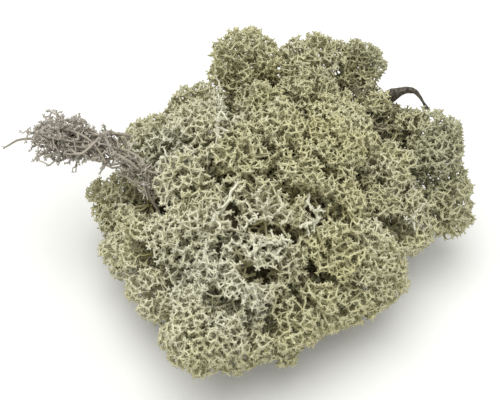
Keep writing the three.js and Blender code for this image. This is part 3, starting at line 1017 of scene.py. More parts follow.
# %% Lay the tubes and place the stars
def tubes_on(tree, given):
    """Sweeps a small polygon along each chain, as thick as the chain says."""
    curve = node_of(tree, "GeometryNodeMeshToCurve", Mesh=given["Geometry"]).outputs[0]
    circle = node_of(tree, "GeometryNodeCurvePrimitiveCircle", Resolution=given["Sides"], Radius=1).outputs[0]
    thickness = stored(tree, "thickness")
    return node_of(
        tree, "GeometryNodeCurveToMesh", Curve=curve, Profile_Curve=circle, Scale=thickness, Fill_Caps=True
    ).outputs[0]


def stars_on(tree, given):
    """Puts a star on the end of each chain."""
    is_end = stored(tree, "end", "BOOLEAN")
    ends = node_of(tree, "GeometryNodeMeshToPoints", Mesh=given["Geometry"], Selection=is_end).outputs[0]
    shape = node_of(tree, "GeometryNodeObjectInfo", Object=given["Star"]).outputs["Geometry"]
    turns = star_turns(tree, given["Seed"])
    scales = star_scales(tree, given["Star Size"])
    return node_of(
        tree, "GeometryNodeInstanceOnPoints", Points=ends, Instance=shape, Rotation=turns, Scale=scales
    ).outputs[0]


# %% Build the branchlet tree
TREE_INPUTS = {
    "Geometry": "NodeSocketGeometry",
    "Sides": "NodeSocketInt",
    "Star": "NodeSocketObject",
    "Star Size": "NodeSocketFloat",
    "Seed": "NodeSocketInt",
    "Material": "NodeSocketMaterial",
}


def branchlet_tree():
    """Geometry Nodes that turn chains into tubes with stars on their ends."""
    tree = bpy.data.node_groups.new("branchlets", "GeometryNodeTree")
    for name, kind in TREE_INPUTS.items():
        tree.interface.new_socket(name, in_out="INPUT", socket_type=kind)
    tree.interface.new_socket("Geometry", in_out="OUTPUT", socket_type="NodeSocketGeometry")
    given = tree.nodes.new("NodeGroupInput").outputs
    both = tree.nodes.new("GeometryNodeJoinGeometry")
    tree.links.new(tubes_on(tree, given), both.inputs[0])
    tree.links.new(stars_on(tree, given), both.inputs[0])
    smooth = node_of(tree, "GeometryNodeSetShadeSmooth", Geometry=both.outputs[0]).outputs[0]
    plain = node_of(tree, "GeometryNodeRealizeInstances", Geometry=smooth).outputs[0]
    coated = node_of(tree, "GeometryNodeSetMaterial", Geometry=plain, Material=given["Material"]).outputs[0]
    leave = tree.nodes.new("NodeGroupOutput")
    tree.links.new(coated, leave.inputs[0])
    return tree


BRANCHLETS = branchlet_tree()
print("nodes in the branchlet tree:", len(BRANCHLETS.nodes))

# %% Store what the tree reads
STAR_TILT = 0.3  # how far a star strays from its branch's way
THICKER_WHERE_COARSE = 0.4
HOLLOW_AGE_AND_SHADE = 0.4  # how much darker the branchlets are painted at the bottom of a hollow, through their age: painted shade, and partly older growth


def store(mesh, name, kind, values):
    """Stores a value for each point of a mesh."""
    layer = mesh.attributes.new(name, kind, "POINT")
    layer.data.foreach_set("vector" if kind == "FLOAT_VECTOR" else "value", np.asarray(values).ravel())


def skeleton_of(chains, name, own):
    """An object of bare edges from some chains, with all that the tree and the finish read."""
    points = np.array(chains.points)
    skeleton = mesh_object(name + "_skeleton", points * MM, edges=chains.edges)
    ends = np.zeros(len(points), bool)
    ways = np.zeros((len(points), 3))
    tilts = random.normal(0, STAR_TILT, (len(chains.ends), 3))
    ends[chains.ends] = True
    ways[chains.ends] = np.array(chains.end_ways).reshape(-1, 3) + tilts
    thickness = np.array(chains.radii) * coarseness(points) ** THICKER_WHERE_COARSE
    store(skeleton.data, "thickness", "FLOAT", thickness * MM)
    # the age carries painted shade at the bottom of the hollows, on top of the branchlets' own age
    store(skeleton.data, "age", "FLOAT", np.array(chains.ages) + HOLLOW_AGE_AND_SHADE * hollow_shade(points))
    store(skeleton.data, "weather", "FLOAT_VECTOR", weathered(points) + own)
    store(skeleton.data, "end", "BOOLEAN", ends)
    store(skeleton.data, "way", "FLOAT_VECTOR", ways)
    return skeleton


# %% Run the tree on some chains
TUBE_SIDES = 3
STAR_SIZE = 1.0


def set_input(modifier, name, value):
    """Sets a modifier's input through its socket's identifier."""
    sockets = [item for item in modifier.node_group.interface.items_tree if item.in_out == "INPUT"]
    modifier[next(socket.identifier for socket in sockets if socket.name == name)] = value


def plain_piece(chains, name, material, own=None):
    """Runs the branchlet tree on some chains, and gives the result as an object of plain mesh."""
    own = random.normal(0, OWN_SHARE, 3) if own is None else own
    skeleton = skeleton_of(chains, name, own)
    modifier = skeleton.modifiers.new("branchlets", "NODES")
    modifier.node_group = BRANCHLETS
    set_input(modifier, "Sides", TUBE_SIDES)
    set_input(modifier, "Star", STAR)
    set_input(modifier, "Star Size", STAR_SIZE)
    set_input(modifier, "Seed", SEED)
    set_input(modifier, "Material", material)
    seen = skeleton.evaluated_get(bpy.context.evaluated_depsgraph_get())
    made = bpy.data.meshes.new_from_object(seen)
    bpy.data.objects.remove(skeleton)
    for used in ("thickness", "end", "way"):
        if used in made.attributes:
            made.attributes.remove(made.attributes[used])
    made.name = name
    piece = bpy.data.objects.new(name, made)
    bpy.context.scene.collection.objects.link(piece)
    return piece


def triangles_in(piece):
    """How many triangles a piece has."""
    return sum(len(face.vertices) - 2 for face in piece.data.polygons)


# %% [markdown]
# ## The heads
#
# All heads could be one mesh, but it would be far too heavy to handle. So every solid head gives way to its
# own piece of branchlets, and each can still be told apart and repainted.


# %% Grow all the heads
def grow_heads():
    """Grows every pale head in the place of its solid, and counts the triangles."""
    count = 0
    for name in HEAD_NAMES:
        chains = Chains()
        grow(stars[name].places, stars[name].ages, root_of(heads[name]), HEAD_HABIT, chains)
        knit(stars[name].places, stars[name].ages, HEAD_HABIT.radii[0], chains)
        piece = plain_piece(chains, name + "_branchlets", PALE_LICHEN)
        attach(piece, "root")
        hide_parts(name)
        count += triangles_in(piece)
    return count


print("triangles in the heads:", grow_heads())

# %% [markdown]
# ## The grey tuft
#
# The tuft at the back left is another lichen, grey with a touch of mauve. Its fan of fine tips hangs out on
# a loose sheaf of thicker stems that lies over the pale heads. The fan grows by the same steps as a head,
# with a habit of its own. The stems of the sheaf each follow it for a stretch, stray a little and carry a
# few side branchlets, so that it frays instead of ending in a clean bundle. Some short stems hang from it,
# and one long bare one points outwards.

# %% Draw the sheaf's line
GREY_SHEAF = [(-58, 18, 69), (-62, 32, 74), (-67, 46, 76), (-75, 58, 77), (-84, 67, 76), (-94, 75, 75)]
LINE_POINTS = 50


def curve_through(points, count):
    """Places along a smooth curve through some points."""
    points = np.array(points, float)
    padded = np.concatenate([[2 * points[0] - points[1]], points, [2 * points[-1] - points[-2]]])
    found = []
    for u in np.linspace(0, len(points) - 1, count):
        k = min(int(u), len(points) - 2)
        t = u - k
        a, b, c, d = padded[k : k + 4]
        bend = 2 * a - 5 * b + 4 * c - d
        found.append(0.5 * (2 * b + (c - a) * t + bend * t**2 + (3 * b - a - 3 * c + d) * t**3))
    return np.array(found)


SHEAF_LINE = curve_through(GREY_SHEAF, LINE_POINTS)
print("length of the sheaf:", lengths(np.diff(SHEAF_LINE, axis=0)).sum().round(1), "mm")

# %% Shape a crooked stem
SIDE_SPRIG_TIPS = (2, 5)  # at least so many, and fewer than the second number
SIDE_SPRIG_AGES = (0, 0.15)
CURL_STRAY = 1.9
CURL_TAPER = (1.2, 0.85)
CURL_AGES = (0.8, 0.3)
CURL_SPRIG_REACH = (2.5, 7)
CURL_HABIT = Habit(
    steps=[2.2],
    spacings=[3.4],
    radii=[0.42, 0.46, 0.52],
    ages=[0, 0.2, 0.5],
    bow=0.35,
    wander=0.2,
)


def side_sprig(foot, reach, chains, habit):
    """A few short branchlets from one place outwards in any direction."""
    ways = random.normal(0, 1, (int(random.integers(*SIDE_SPRIG_TIPS)), 3))
    tips = foot + ways / lengths(ways) * random.uniform(*reach, (len(ways), 1))
    grow(tips, random.uniform(*SIDE_SPRIG_AGES, len(tips)), foot, habit, chains)


def crooked(route, radius, chains):
    """A thin crooked stem along a route, with side branchlets."""
    spine = curve_through(route + random.normal(0, CURL_STRAY, route.shape), 2 * len(route))
    chains.add(spine, np.linspace(*CURL_TAPER, len(spine)) * radius, np.linspace(*CURL_AGES, len(spine)))
    for foot in spine[1::2]:
        side_sprig(foot, CURL_SPRIG_REACH, chains, CURL_HABIT)


# %% Lay the sheaf
SHEAF_SPREAD = 4.4
CURLS = 18
CURL_POINTS = 12
CURL_PAST_MIDDLE = 3  # a stem runs on past the sheaf's middle for at least so many points
CURL_RADII = (0.58, 0.84)
DROOPS = 9
DROOP_FEET = (14, 46)  # the range of the points on the sheaf's line that they hang from
DROOP_POINTS = 4
DROOP_STEP = np.array([0.0, -0.6, -2.6])
DROOP_STRAY = 0.9
DROOP_RADII = (0.42, 0.5)


def curl(chains):
    """One stem that follows the sheaf for a stretch."""
    route = np.array(GREY_SHEAF, float) + random.normal(0, SHEAF_SPREAD, (len(GREY_SHEAF), 3))
    first = int(random.integers(0, CURL_POINTS // 2))
    last = int(random.integers(CURL_POINTS // 2 + CURL_PAST_MIDDLE, CURL_POINTS + 1))
    crooked(curve_through(route, CURL_POINTS)[first:last], random.uniform(*CURL_RADII), chains)


def droop(chains):
    """One short stem that hangs from the sheaf."""
    foot = SHEAF_LINE[int(random.integers(*DROOP_FEET))]
    route = foot + np.arange(DROOP_POINTS)[:, None] * (DROOP_STEP + random.normal(0, DROOP_STRAY, 3))
    crooked(route, random.uniform(*DROOP_RADII), chains)


# %% Grow the grey tuft
LONG_CURL = [(-84, 66, 74), (-91, 71, 76), (-97, 75, 77), (-103, 79, 76), (-107, 81, 73), (-109, 83, 70)]
LONG_CURL_RADII = (0.95, 0.55)
LONG_CURL_AGES = (1, 0.6)
FAN_ROOT = np.array([-79.0, 60.0, 73.0])
FAN_WAY = np.array([0.45, 0.68, 0.58])
FAN_EDGE = -2.5  # how far behind its middle the fan still bears all its tips
SPARSE_SHARE = 0.22  # of the tips further behind


def fan_tips():
    """The tips of the tuft's fan, which are few on its hidden side."""
    own = stars["grey_tuft"]
    rise = (own.places - heads["grey_tuft"].middle) @ FAN_WAY
    kept = (rise > FAN_EDGE) | (random.random(len(rise)) < SPARSE_SHARE)
    return own.places[kept], own.ages[kept]


def grow_grey_tuft():
    """Grows the grey tuft in the place of its solid."""
    chains = Chains()
    grow(*fan_tips(), FAN_ROOT, GREY_HABIT, chains)
    for _ in range(CURLS):
        curl(chains)
    for _ in range(DROOPS):
        droop(chains)
    spine = curve_through(LONG_CURL, CURL_POINTS)
    chains.add(spine, np.linspace(*LONG_CURL_RADII, len(spine)), np.linspace(*LONG_CURL_AGES, len(spine)))
    piece = plain_piece(chains, "grey_tuft_branchlets", GREY_LICHEN)
    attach(piece, "root")
    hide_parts("grey_tuft")
    return triangles_in(piece)


print("triangles in the grey tuft:", grow_grey_tuft())

# %% [markdown]
# ## Bleached scraps
#
# Here and there a dead, bleached branch of another plant lies on the skin. It is thicker than the
# branchlets round it and nearly white. A random scatter would spread the scraps evenly, but real ones lie
# in a few spots. So each one is laid through a few listed places, and each place is moved to the nearest
# star, so that the scrap rests on the clump.

# %% Lay the bleached scraps
SCRAPS = [
    [(-61, -27, 86), (-49, -21, 87), (-37, -14, 92)],
    [(-70, -30, 81), (-73, -38, 77), (-70, -44, 73)],
    [(-56, -48, 81), (-46, -46, 80), (-36, -45, 83)],
    [(-38, -53, 79), (-45, -47, 80)],
    [(-21, -45, 79), (-12, -47, 83), (-10, -40, 83)],
    [(-14, 35, 90), (-4, 42, 86), (8, 50, 80)],
    [(-28, 12, 92), (-22, 24, 93), (-14, 30, 92)],
    [(46, -60, 52), (57, -58, 57)],
    [(-48, 28, 82), (-42, 14, 88)],
]
SCRAP_LIFT = 1.2
SCRAP_POINTS = 5  # for each of its places
SCRAP_STRAY = 0.4
SCRAP_RADII = (1.05, 0.75)
SCRAP_SPRIG_REACH = (3, 6.5)
SCRAP_HABIT = Habit(
    steps=[2.2],
    spacings=[4.4],
    radii=[0.6, 0.66, 0.75],
    ages=[0.0, 0.0, 0.0],
    bow=0.2,
    wander=0.12,
)
SCRAP_WEATHER = np.array([0.0, 0.0, 1.2])


def scrap(places, skin, skin_places, chains):
    """A forked branch that lies on the skin along some places."""
    resting = np.array([skin_places[skin.find(place)[1]] for place in places])
    up = resting - HOLLOW_HEART
    resting += SCRAP_LIFT * up / lengths(up)
    spine = curve_through(resting, SCRAP_POINTS * len(places))
    spine += random.normal(0, SCRAP_STRAY, spine.shape)
    chains.add(spine, np.linspace(*SCRAP_RADII, len(spine)), np.zeros(len(spine)))
    for foot in spine[2::3]:
        side_sprig(foot, SCRAP_SPRIG_REACH, chains, SCRAP_HABIT)


def lay_scraps():
    """All the bleached scraps as one piece."""
    skin_places = np.concatenate([one.places for one in stars.values()])
    skin = tree_of(skin_places)
    chains = Chains()
    for places in SCRAPS:
        scrap(places, skin, skin_places, chains)
    piece = plain_piece(chains, "bleached_scraps", PALE_LICHEN, own=SCRAP_WEATHER)
    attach(piece, "root")
    return triangles_in(piece)


print("triangles in the scraps:", lay_scraps())

# %% [markdown]
# ## The old stems
#
# Under the heads lies what is left of their older growth: brown stems, pressed and tangled. A core of felt
# fills the middle, and several hundred stems creep over it, cross each other and fork. The core follows the
# packed middle of the solid. Rays from inside the solid find how far that middle reaches. A ray that runs
# out along a stem meets the surface too far away, so each direction takes a low value among its neighbours.

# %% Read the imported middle
CORE_RAYS = 2600
NEAR_WAYS = 14  # how many neighbouring rays are compared
LOW_SHARE = 0.35  # the share of them that may be shorter than the value taken
CORE_FOCUS = 180  # how strictly a ray has to lie in the asked direction to count


def read_core():
    """The heart of the old stems, directions from it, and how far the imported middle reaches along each."""
    corners = corners_of("old_stems")
    heart = middle_of(corners)
    triangles = np.arange(len(corners) * 3).reshape(-1, 3)
    tree = BVHTree.FromPolygons(corners.reshape(-1, 3).tolist(), triangles.tolist())
    ways = even_directions(CORE_RAYS)
    hits = np.array([tree.ray_cast(heart.tolist(), way.tolist())[3] for way in ways])
    near = np.argsort(-(ways @ ways.T), axis=1)[:, :NEAR_WAYS]
    return heart, ways, np.quantile(hits[near], LOW_SHARE, axis=1)


HEART, CORE_WAYS, CORE_REACHES = read_core()


def core_reach(ways):
    """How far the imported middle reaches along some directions."""
    weights = np.exp(CORE_FOCUS * (ways @ CORE_WAYS.T - 1))
    return (weights @ CORE_REACHES) / weights.sum(axis=1)


print("packed middle:", CORE_REACHES.min().round(1), "to", CORE_REACHES.max().round(1), "mm from its heart")

# %% Make the felt core
CORE_DEPTH = 2.5  # how far under the solid's surface the felt lies
CORE_SUBDIVISIONS = 5
LUMPS = 9  # the more, the finer
LUMP_OCTAVES = 4
LUMP_HEIGHT = 1.8
LOWEST_FELT = 0.3  # above the floor
FELT_AGE = 0.75
# the felt's age is lowered on its lumps, so it is lighter on them and darker in the dips between
LIGHTER_ON_LUMPS = 0.4


def felt_core():
    """A closed, lumpy core of felt, as an object."""
    bpy.ops.mesh.primitive_ico_sphere_add(subdivisions=CORE_SUBDIVISIONS, radius=1)
    core = bpy.context.active_object
    core.name = "old_stems_core"
    ways = np.array([vertex.co for vertex in core.data.vertices])
    lumps = np.array([noise.fractal(Vector(way * LUMPS), 1, 2, LUMP_OCTAVES) for way in ways])
    reach = core_reach(ways) - CORE_DEPTH + LUMP_HEIGHT * lumps
    places = HEART + ways * reach[:, None]
    places[:, 2] = np.maximum(places[:, 2], LOWEST_FELT)
    core.data.vertices.foreach_set("co", (places * MM).ravel())
    core.data.materials.append(OLD_LICHEN)
    store(core.data, "age", "FLOAT", np.clip(FELT_AGE - LIGHTER_ON_LUMPS * lumps, 0, 1))
    store(core.data, "weather", "FLOAT_VECTOR", weathered(places))
    core.data.polygons.foreach_set("use_smooth", np.ones(len(core.data.polygons), bool))
    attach(core, "root")
    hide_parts("old_stems")
    return core


print("triangles in the felt core:", triangles_in(felt_core()))

# %% Lead a stem over the core
CREEP_STEP = 3.6
CREEP_TURN = 0.32  # how far a stem strays from its heading at each step
WEAVE_HEIGHT = 2.2
WEAVE_TURN = 0.9  # radians of the up and down at each step
CREEP_TAPER = 0.55  # the thickness of its end, as a share of that of its start
FORKING_RADIUS = 0.5  # only stems thicker than this fork
FORK_SHARE = 0.3  # of their steps
FORK_TURN = 0.8
FORK_STEPS = (2, 4)
FORK_RADIUS = 0.62  # this and its age are shares of those of its stem
FORK_AGE = 0.8
FORK_LIFT = 0.5


def over_core(place, lift):
    """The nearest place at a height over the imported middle, seen from its heart, and the way up there."""
    way = place - HEART
    way = way / np.linalg.norm(way)
    return HEART + way * (core_reach(way[None])[0] + lift), way


def creep(start, heading, steps, radius, lift, age, chains):
    """A stem that creeps over the core, weaving up and down, with some short forks."""
    place, up = over_core(start, lift)
    spine = [place]
    phase = random.uniform(0, 2 * math.pi)
    for k in range(steps):
        heading = heading + random.normal(0, CREEP_TURN, 3)
        heading -= up * (heading @ up)
        heading /= np.linalg.norm(heading)
        rise = lift + WEAVE_HEIGHT * math.sin(phase + WEAVE_TURN * k)
        place, up = over_core(place + heading * CREEP_STEP, rise)
        spine.append(place)
        if radius > FORKING_RADIUS and random.random() < FORK_SHARE:
            fork = heading + random.normal(0, FORK_TURN, 3)
            count = int(random.integers(*FORK_STEPS))
            creep(place, fork, count, FORK_RADIUS * radius, rise + FORK_LIFT, FORK_AGE * age, chains)
    taper = np.linspace(1, CREEP_TAPER, len(spine))
    chains.add(np.array(spine), radius * taper, np.full(len(spine), age), star=False)


# %% Lay the creeping stems
CREEPING_STEMS = 330
CREEP_RADII = (0.45, 0.85)
CREEP_STEPS = (4, 10)
CREEP_LIFTS = (-2, 3.5)  # how high a stem runs over the felt
CREEP_AGES = (0.1, 0.7)
DOWNWARDS = 0.6  # the larger, the more of them start low


def creeping_stems(chains):
    """Hundreds of stems over the core, most of them on its lower half."""
    for _ in range(CREEPING_STEMS):
        way = random.normal(0, 1, 3)
        way[2] -= DOWNWARDS
        way /= np.linalg.norm(way)
        start = HEART + way * core_reach(way[None])[0]
        radius = random.uniform(*CREEP_RADII)
        steps = int(random.integers(*CREEP_STEPS))
        heading = random.normal(0, 1, 3)
        lift = random.uniform(*CREEP_LIFTS)
        age = random.uniform(*CREEP_AGES)
        creep(start, heading, steps, radius, lift, age, chains)


stem_chains = Chains()
creeping_stems(stem_chains)
print("stretches of creeping stem:", len(stem_chains.edges))

# %% [markdown]
# ## Risers and undergrowth
#
# Crooked stems rise from the tangle to each head. Between the tangle and the heads also stand weak sprigs
# that never reached the light. They are short, grey and forked like the heads. They fill the hollows with
# dim branchlets, feather the risers, and cover the sides and the underside, where no head reaches. Some
# risers have lost their heads, and stand in the gaps round the twig. Hair could cover the core too, but it
# doesn't fork, and it is lost when a model is exported. So the sprigs are chains that grow by the steps of
# a head, from feet that are thinned out.

# %% Shape a sprig
SPRIG_TIPS = (4, 9)  # at least so many, and fewer than the second number
SPRIG_TIP_SPACING = 3.4
SPRIG_REACH = (5, 12)
SPRIG_SPREAD = 0.45
SPRIG_AGES = (0, 0.25)
DEEPEST_SPRIG = 9  # how far into a head a sprig may reach
COVERED_AGE_AND_SHADE = 0.1  # how much darker sprigs are painted where heads cover them, through their age: painted shade, and partly older growth
SPRIG_HABIT = Habit(
    steps=[2.4, 3.6],
    spacings=[4.4, 8],
    radii=[0.42, 0.5, 0.6, 0.75],
    ages=[0, 0.1, 0.3, 0.6],
    bow=0.2,
    wander=0.14,
)


def sprig(foot, way, chains):
    """A small forked sprig from its foot towards a way, if it finds room between the heads."""
    spread = random.normal(0, SPRIG_SPREAD, (int(random.integers(*SPRIG_TIPS)), 3)) + way
    spread /= lengths(spread)
    tips = foot + spread * random.uniform(*SPRIG_REACH, (len(spread), 1))
    apart = lengths(tips[:, None] - MIDDLES)[..., 0] - RADII
    tips = tips[(apart.min(axis=1) > -DEEPEST_SPRIG) & (tips[:, 2] > LOWEST_STAR)]
    if len(tips) > 1:
        tips = tips[thinned(tips, np.full(len(tips), SPRIG_TIP_SPACING))]
        # sprigs under crowded heads are painted darker: painted shade, and partly older growth
        covered = COVERED_AGE_AND_SHADE * crowding(foot[None])[0]
        grow(tips, random.uniform(*SPRIG_AGES, len(tips)) + covered, foot, SPRIG_HABIT, chains)


# %% Shape a riser
RISER_STEP = 5
LEAST_STEPS = 3
RISER_STRAY = 0.9
RISER_RADII = (1.05, 0.75)
RISER_UNEVEN = (0.8, 1.1)  # how much thinner or thicker a whole riser may be
RISER_AGES = (0.9, 0.45)
RISER_SPRIG_STRAY = 0.6


def riser(start, end, chains):
    """A crooked stem from the core to a head, with sprigs on its upper part."""
    count = max(LEAST_STEPS, round(np.linalg.norm(end - start) / RISER_STEP))
    share = np.linspace(0, 1, count + 1)[:, None]
    stray = np.cumsum(random.normal(0, RISER_STRAY, (count + 1, 3)), axis=0)
    stray -= stray[0] + share * (stray[-1] - stray[0])
    spine = start + (end - start) * share + stray
    thickness = np.linspace(*RISER_RADII, count + 1) * random.uniform(*RISER_UNEVEN)
    chains.add(spine, thickness, np.linspace(*RISER_AGES, count + 1), star=False)
    for place in spine[count // 2 :]:
        outward = place - HEART
        sprig(place, random.normal(0, RISER_SPRIG_STRAY, 3) + outward / np.linalg.norm(outward), chains)


# %% Raise stems to the heads and into the gaps
RISERS = 3
FOOT_BELOW_ROOT = 8
FOOT_LIFT = -3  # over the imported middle, so a foot is sunk in
FOOT_STRAY = 3
END_ABOVE_ROOT = 2
END_STRAY = 2
GAP_STEMS = 3
GAP_STRAY = 2.5
GAPS = [
    (80, 20, 67),
    (68, -4, 68),
    (76, 1, 60),
    (80, 8, 60),
    (88, -4, 62),
    (95, -12, 58),
    (73, 17, 70),
    (92, 10, 50),
]


def risers(chains):
    """The stems that rise from the core to each head."""
    for name in HEAD_NAMES:
        head = heads[name]
        root = root_of(head)
        foot, _ = over_core(root - head.facing * FOOT_BELOW_ROOT, FOOT_LIFT)
        for _ in range(RISERS):
            start = foot + random.normal(0, FOOT_STRAY, 3)
            end = root + random.normal(0, END_STRAY, 3) + head.facing * END_ABOVE_ROOT
            riser(start, end, chains)


def stems_in_gaps(chains):
    """Stems that have lost their heads, in the deepest gaps."""
    for place in GAPS:
        foot, _ = over_core(np.array(place, float), FOOT_LIFT)
        for _ in range(GAP_STEMS):
            start = foot + random.normal(0, FOOT_STRAY, 3)
            riser(start, place + random.normal(0, GAP_STRAY, 3), chains)


risers(stem_chains)
stems_in_gaps(stem_chains)
print("stretches with the risers and their sprigs:", len(stem_chains.edges))

# %% Grow the undergrowth
SPRIG_SPACING = 9.2
SPRIG_FEET = 9000
FOOT_DEPTH = 1.5  # how far a sprig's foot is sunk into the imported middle


def undergrowth(chains):
    """Sprigs all over the core."""
    ways = strayed_directions(SPRIG_FEET)
    feet = HEART + ways * (core_reach(ways) - FOOT_DEPTH)[:, None]
    for i in thinned(feet, np.full(len(feet), SPRIG_SPACING)):
        sprig(feet[i], ways[i], chains)


undergrowth(stem_chains)
print("stretches with the undergrowth:", len(stem_chains.edges))

# %% Make the tangle
stem_piece = plain_piece(stem_chains, "old_stems_tangle", OLD_LICHEN)
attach(stem_piece, "root")
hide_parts("old_stems")
bpy.data.objects.remove(STAR)  # every branch has its copy by now
print("triangles in the old stems:", triangles_in(stem_piece))

# %% [markdown]
# ## The twig
#
# A bent piece of twig is caught between the heads. Its bark is nearly black, with ridges along it and a few
# knots. Bump alone would leave its outline smooth. So a tube follows the solid's bend, hooks a little more
# at its end, and has enough sides for the ridges to be real ones.

# %% Mix the bark
BARK_NOISE = 650
WORN_RANGE = (0.4, 0.72)
BARK_SHADES = ((0.028, 0.022, 0.015, 1), (0.18, 0.16, 0.125, 1))
GRAIN_NOISE = 1500
GRAIN_BUMP = 0.7
GRAIN_HEIGHT = 0.0006  # metres
BARK_ROUGHNESS = 0.75


def bark_material():
    """Dark bark, greyer where it is worn."""
    material = bpy.data.materials.new("twig_bark")
    material.use_nodes = True
    tree = material.node_tree
    surface = tree.nodes["Principled BSDF"]
    worn = ramped(tree, noise_at(tree, BARK_NOISE, 4), *WORN_RANGE)
    tree.links.new(mixed(tree, worn, *BARK_SHADES), surface.inputs["Base Color"])
    bump = tree.nodes.new("ShaderNodeBump")
    bump.inputs["Strength"].default_value = GRAIN_BUMP
    bump.inputs["Distance"].default_value = GRAIN_HEIGHT
    tree.links.new(noise_at(tree, GRAIN_NOISE, 3), bump.inputs["Height"])
    tree.links.new(bump.outputs["Normal"], surface.inputs["Normal"])
    surface.inputs["Roughness"].default_value = BARK_ROUGHNESS
    return material


TWIG_BARK = bark_material()
print("nodes in the bark:", len(TWIG_BARK.node_tree.nodes))

# %% Shape the bark
TWIG_SIDES = 14
TWIG_RINGS = 80
RIDGES = 4
RIDGE_TWIST = 0.05  # radians at each ring
RIDGE_HEIGHT = 0.12  # this and the next two heights are shares of the twig's radius
WEAR_HEIGHT = 0.12
WEAR_PATTERN = (0.5, 3)  # how fast the wear changes along the twig and round it
KNOT_HEIGHT = 0.3
KNOT_PATTERN = (0.16, 0.6)  # how fast the knots change from ring to ring and round the twig
KNOT_PLACE = 3.1  # picks one pattern of knots


def swelling(ring, turn, place, way):
    """How much thicker or thinner the twig is at a point of its bark, as a share of its radius."""
    ridge = RIDGE_HEIGHT * math.sin(RIDGES * turn + RIDGE_TWIST * ring)
    wear = WEAR_HEIGHT * noise.noise(Vector(place * WEAR_PATTERN[0] + way * WEAR_PATTERN[1]))
    spot = Vector((ring * KNOT_PATTERN[0], turn * KNOT_PATTERN[1], KNOT_PLACE))
    knot = KNOT_HEIGHT * max(0, noise.noise(spot))
    return ridge + wear + knot


def bark_points(spine, radii):
    """The points of the bark, ring after ring along a spine."""
    across = np.array([0.0, 1.0, 0.0])
    points = []
    for i, place in enumerate(spine):
        along = spine[min(i + 1, len(spine) - 1)] - spine[max(i - 1, 0)]
        along /= np.linalg.norm(along)
        across = across - along * (across @ along)
        across /= np.linalg.norm(across)
        third = np.cross(along, across)
        for k in range(TWIG_SIDES):
            turn = 2 * math.pi * k / TWIG_SIDES
            way = across * math.cos(turn) + third * math.sin(turn)
            points.append(place + way * radii[i] * (1 + swelling(i, turn, place, way)))
    return np.array(points)


# %% Model the twig
TWIG_POINTS = [  # place and radius, from its hidden foot to its tip
    ((58, 10, 50), 2.4),
    ((80, 7, 69), 3.3),
    ((86, 2.5, 77.5), 3.3),
    ((89.5, -2, 83), 1.8),
    ((92.5, -6, 84.5), 1.35),
    ((94.5, -9.5, 82), 0.95),
    ((95.8, -12, 79), 0.7),
    ((97.2, -14.6, 76), 1.05),
]


def bark_faces():
    """The faces between the rings, and one at each end."""
    last = (TWIG_RINGS - 1) * TWIG_SIDES
    faces = [tuple(reversed(range(TWIG_SIDES))), tuple(range(last, last + TWIG_SIDES))]
    for i in range(TWIG_RINGS - 1):
        for k in range(TWIG_SIDES):
            a, b = i * TWIG_SIDES + k, i * TWIG_SIDES + (k + 1) % TWIG_SIDES
            faces.append((a, b, b + TWIG_SIDES, a + TWIG_SIDES))
    return faces


def twig():
    """The twig in its bark, as a closed tube along a curve through its places."""
    places, radii = zip(*TWIG_POINTS)
    spine = curve_through(places, TWIG_RINGS)
    thick = np.interp(np.linspace(0, len(places) - 1, TWIG_RINGS), range(len(places)), radii)
    piece = mesh_object("dark_twig_bark", bark_points(spine, thick) * MM, bark_faces())
    piece.data.polygons.foreach_set("use_smooth", np.ones(len(piece.data.polygons), bool))
    piece.data.materials.append(TWIG_BARK)
    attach(piece, "root")
    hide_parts("dark_twig")
    return piece


print("triangles in the twig:", triangles_in(twig()))

# %% [markdown]
# ## The stage
#
# A plain pale floor and a wide, soft sun show the clump without drama. Lamps near the clump would light its
# two sides unevenly, and a sun doesn't. It stands high on the left, so that the tips are bright and the
# holes between them fall dark. A world of even light keeps the shadows soft.

# %% Lay the floor
FLOOR_SIZE = 8  # metres
FLOOR_COLOR = (0.82, 0.82, 0.8, 1)
FLOOR_ROUGHNESS = 0.9


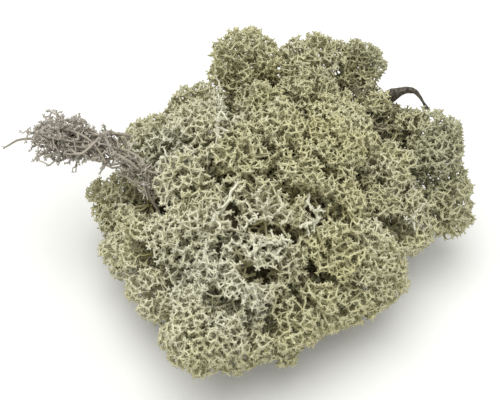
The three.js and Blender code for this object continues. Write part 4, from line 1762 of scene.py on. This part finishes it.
def add_floor():
    """A wide pale floor at the height that the clump rests on."""
    bpy.ops.mesh.primitive_plane_add(size=FLOOR_SIZE)
    floor = bpy.context.active_object
    floor.name = "floor"
    material = bpy.data.materials.new("floor_finish")
    material.use_nodes = True
    surface = material.node_tree.nodes["Principled BSDF"]
    surface.inputs["Base Color"].default_value = FLOOR_COLOR
    surface.inputs["Roughness"].default_value = FLOOR_ROUGHNESS
    floor.data.materials.append(material)


add_floor()
print("floor:", FLOOR_SIZE, "m wide")

# %% Light the clump
SUN_PLACE = (-0.2, 0.1, 1)  # it shines from there towards the clump
SUN_STRENGTH = 2.0
SUN_SPREAD = math.radians(55)
WORLD_STRENGTH = 0.8
BACKDROP = 0.98  # how bright the world looks to the camera itself


def add_sun():
    """A wide, soft sun."""
    sun = bpy.data.objects.new("key_light", bpy.data.lights.new("key_light", "SUN"))
    sun.data.energy = SUN_STRENGTH
    sun.data.angle = SUN_SPREAD
    sun.location = SUN_PLACE
    sun.rotation_euler = Vector(SUN_PLACE).to_track_quat("Z", "Y").to_euler()
    bpy.context.scene.collection.objects.link(sun)


def light_world():
    """Even light from all round. The camera itself sees a backdrop of another brightness."""
    world = bpy.data.worlds.new("studio")
    world.use_nodes = True
    tree = world.node_tree
    background = tree.nodes["Background"]
    background.inputs["Color"].default_value = (1, 1, 1, 1)
    path = tree.nodes.new("ShaderNodeLightPath")
    brightness = tree.nodes.new("ShaderNodeMapRange")
    brightness.inputs["To Min"].default_value = WORLD_STRENGTH
    brightness.inputs["To Max"].default_value = BACKDROP
    tree.links.new(path.outputs["Is Camera Ray"], brightness.inputs["Value"])
    tree.links.new(brightness.outputs["Result"], background.inputs["Strength"])
    bpy.context.scene.world = world


add_sun()
light_world()
bpy.context.scene.view_settings.view_transform = "Standard"
print("sun:", SUN_STRENGTH, "and world:", WORLD_STRENGTH)

# %% [markdown]
# ## Measure and finish
#
# The dressed clump has to keep the size of its solids. Its triangles are counted, because a part that
# others reuse has to stay light enough to load.


# %% Count the triangles
def count_triangles():
    """How many triangles each added piece has, by its name."""
    shapes = [shape for shape in bpy.context.scene.objects if shape.type == "MESH" and shape.name != "floor"]
    return {shape.name: triangles_in(shape) for shape in shapes if shape.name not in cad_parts}


counts = count_triangles()
print("triangles in all:", sum(counts.values()), "and in the largest piece:", max(counts.values()))
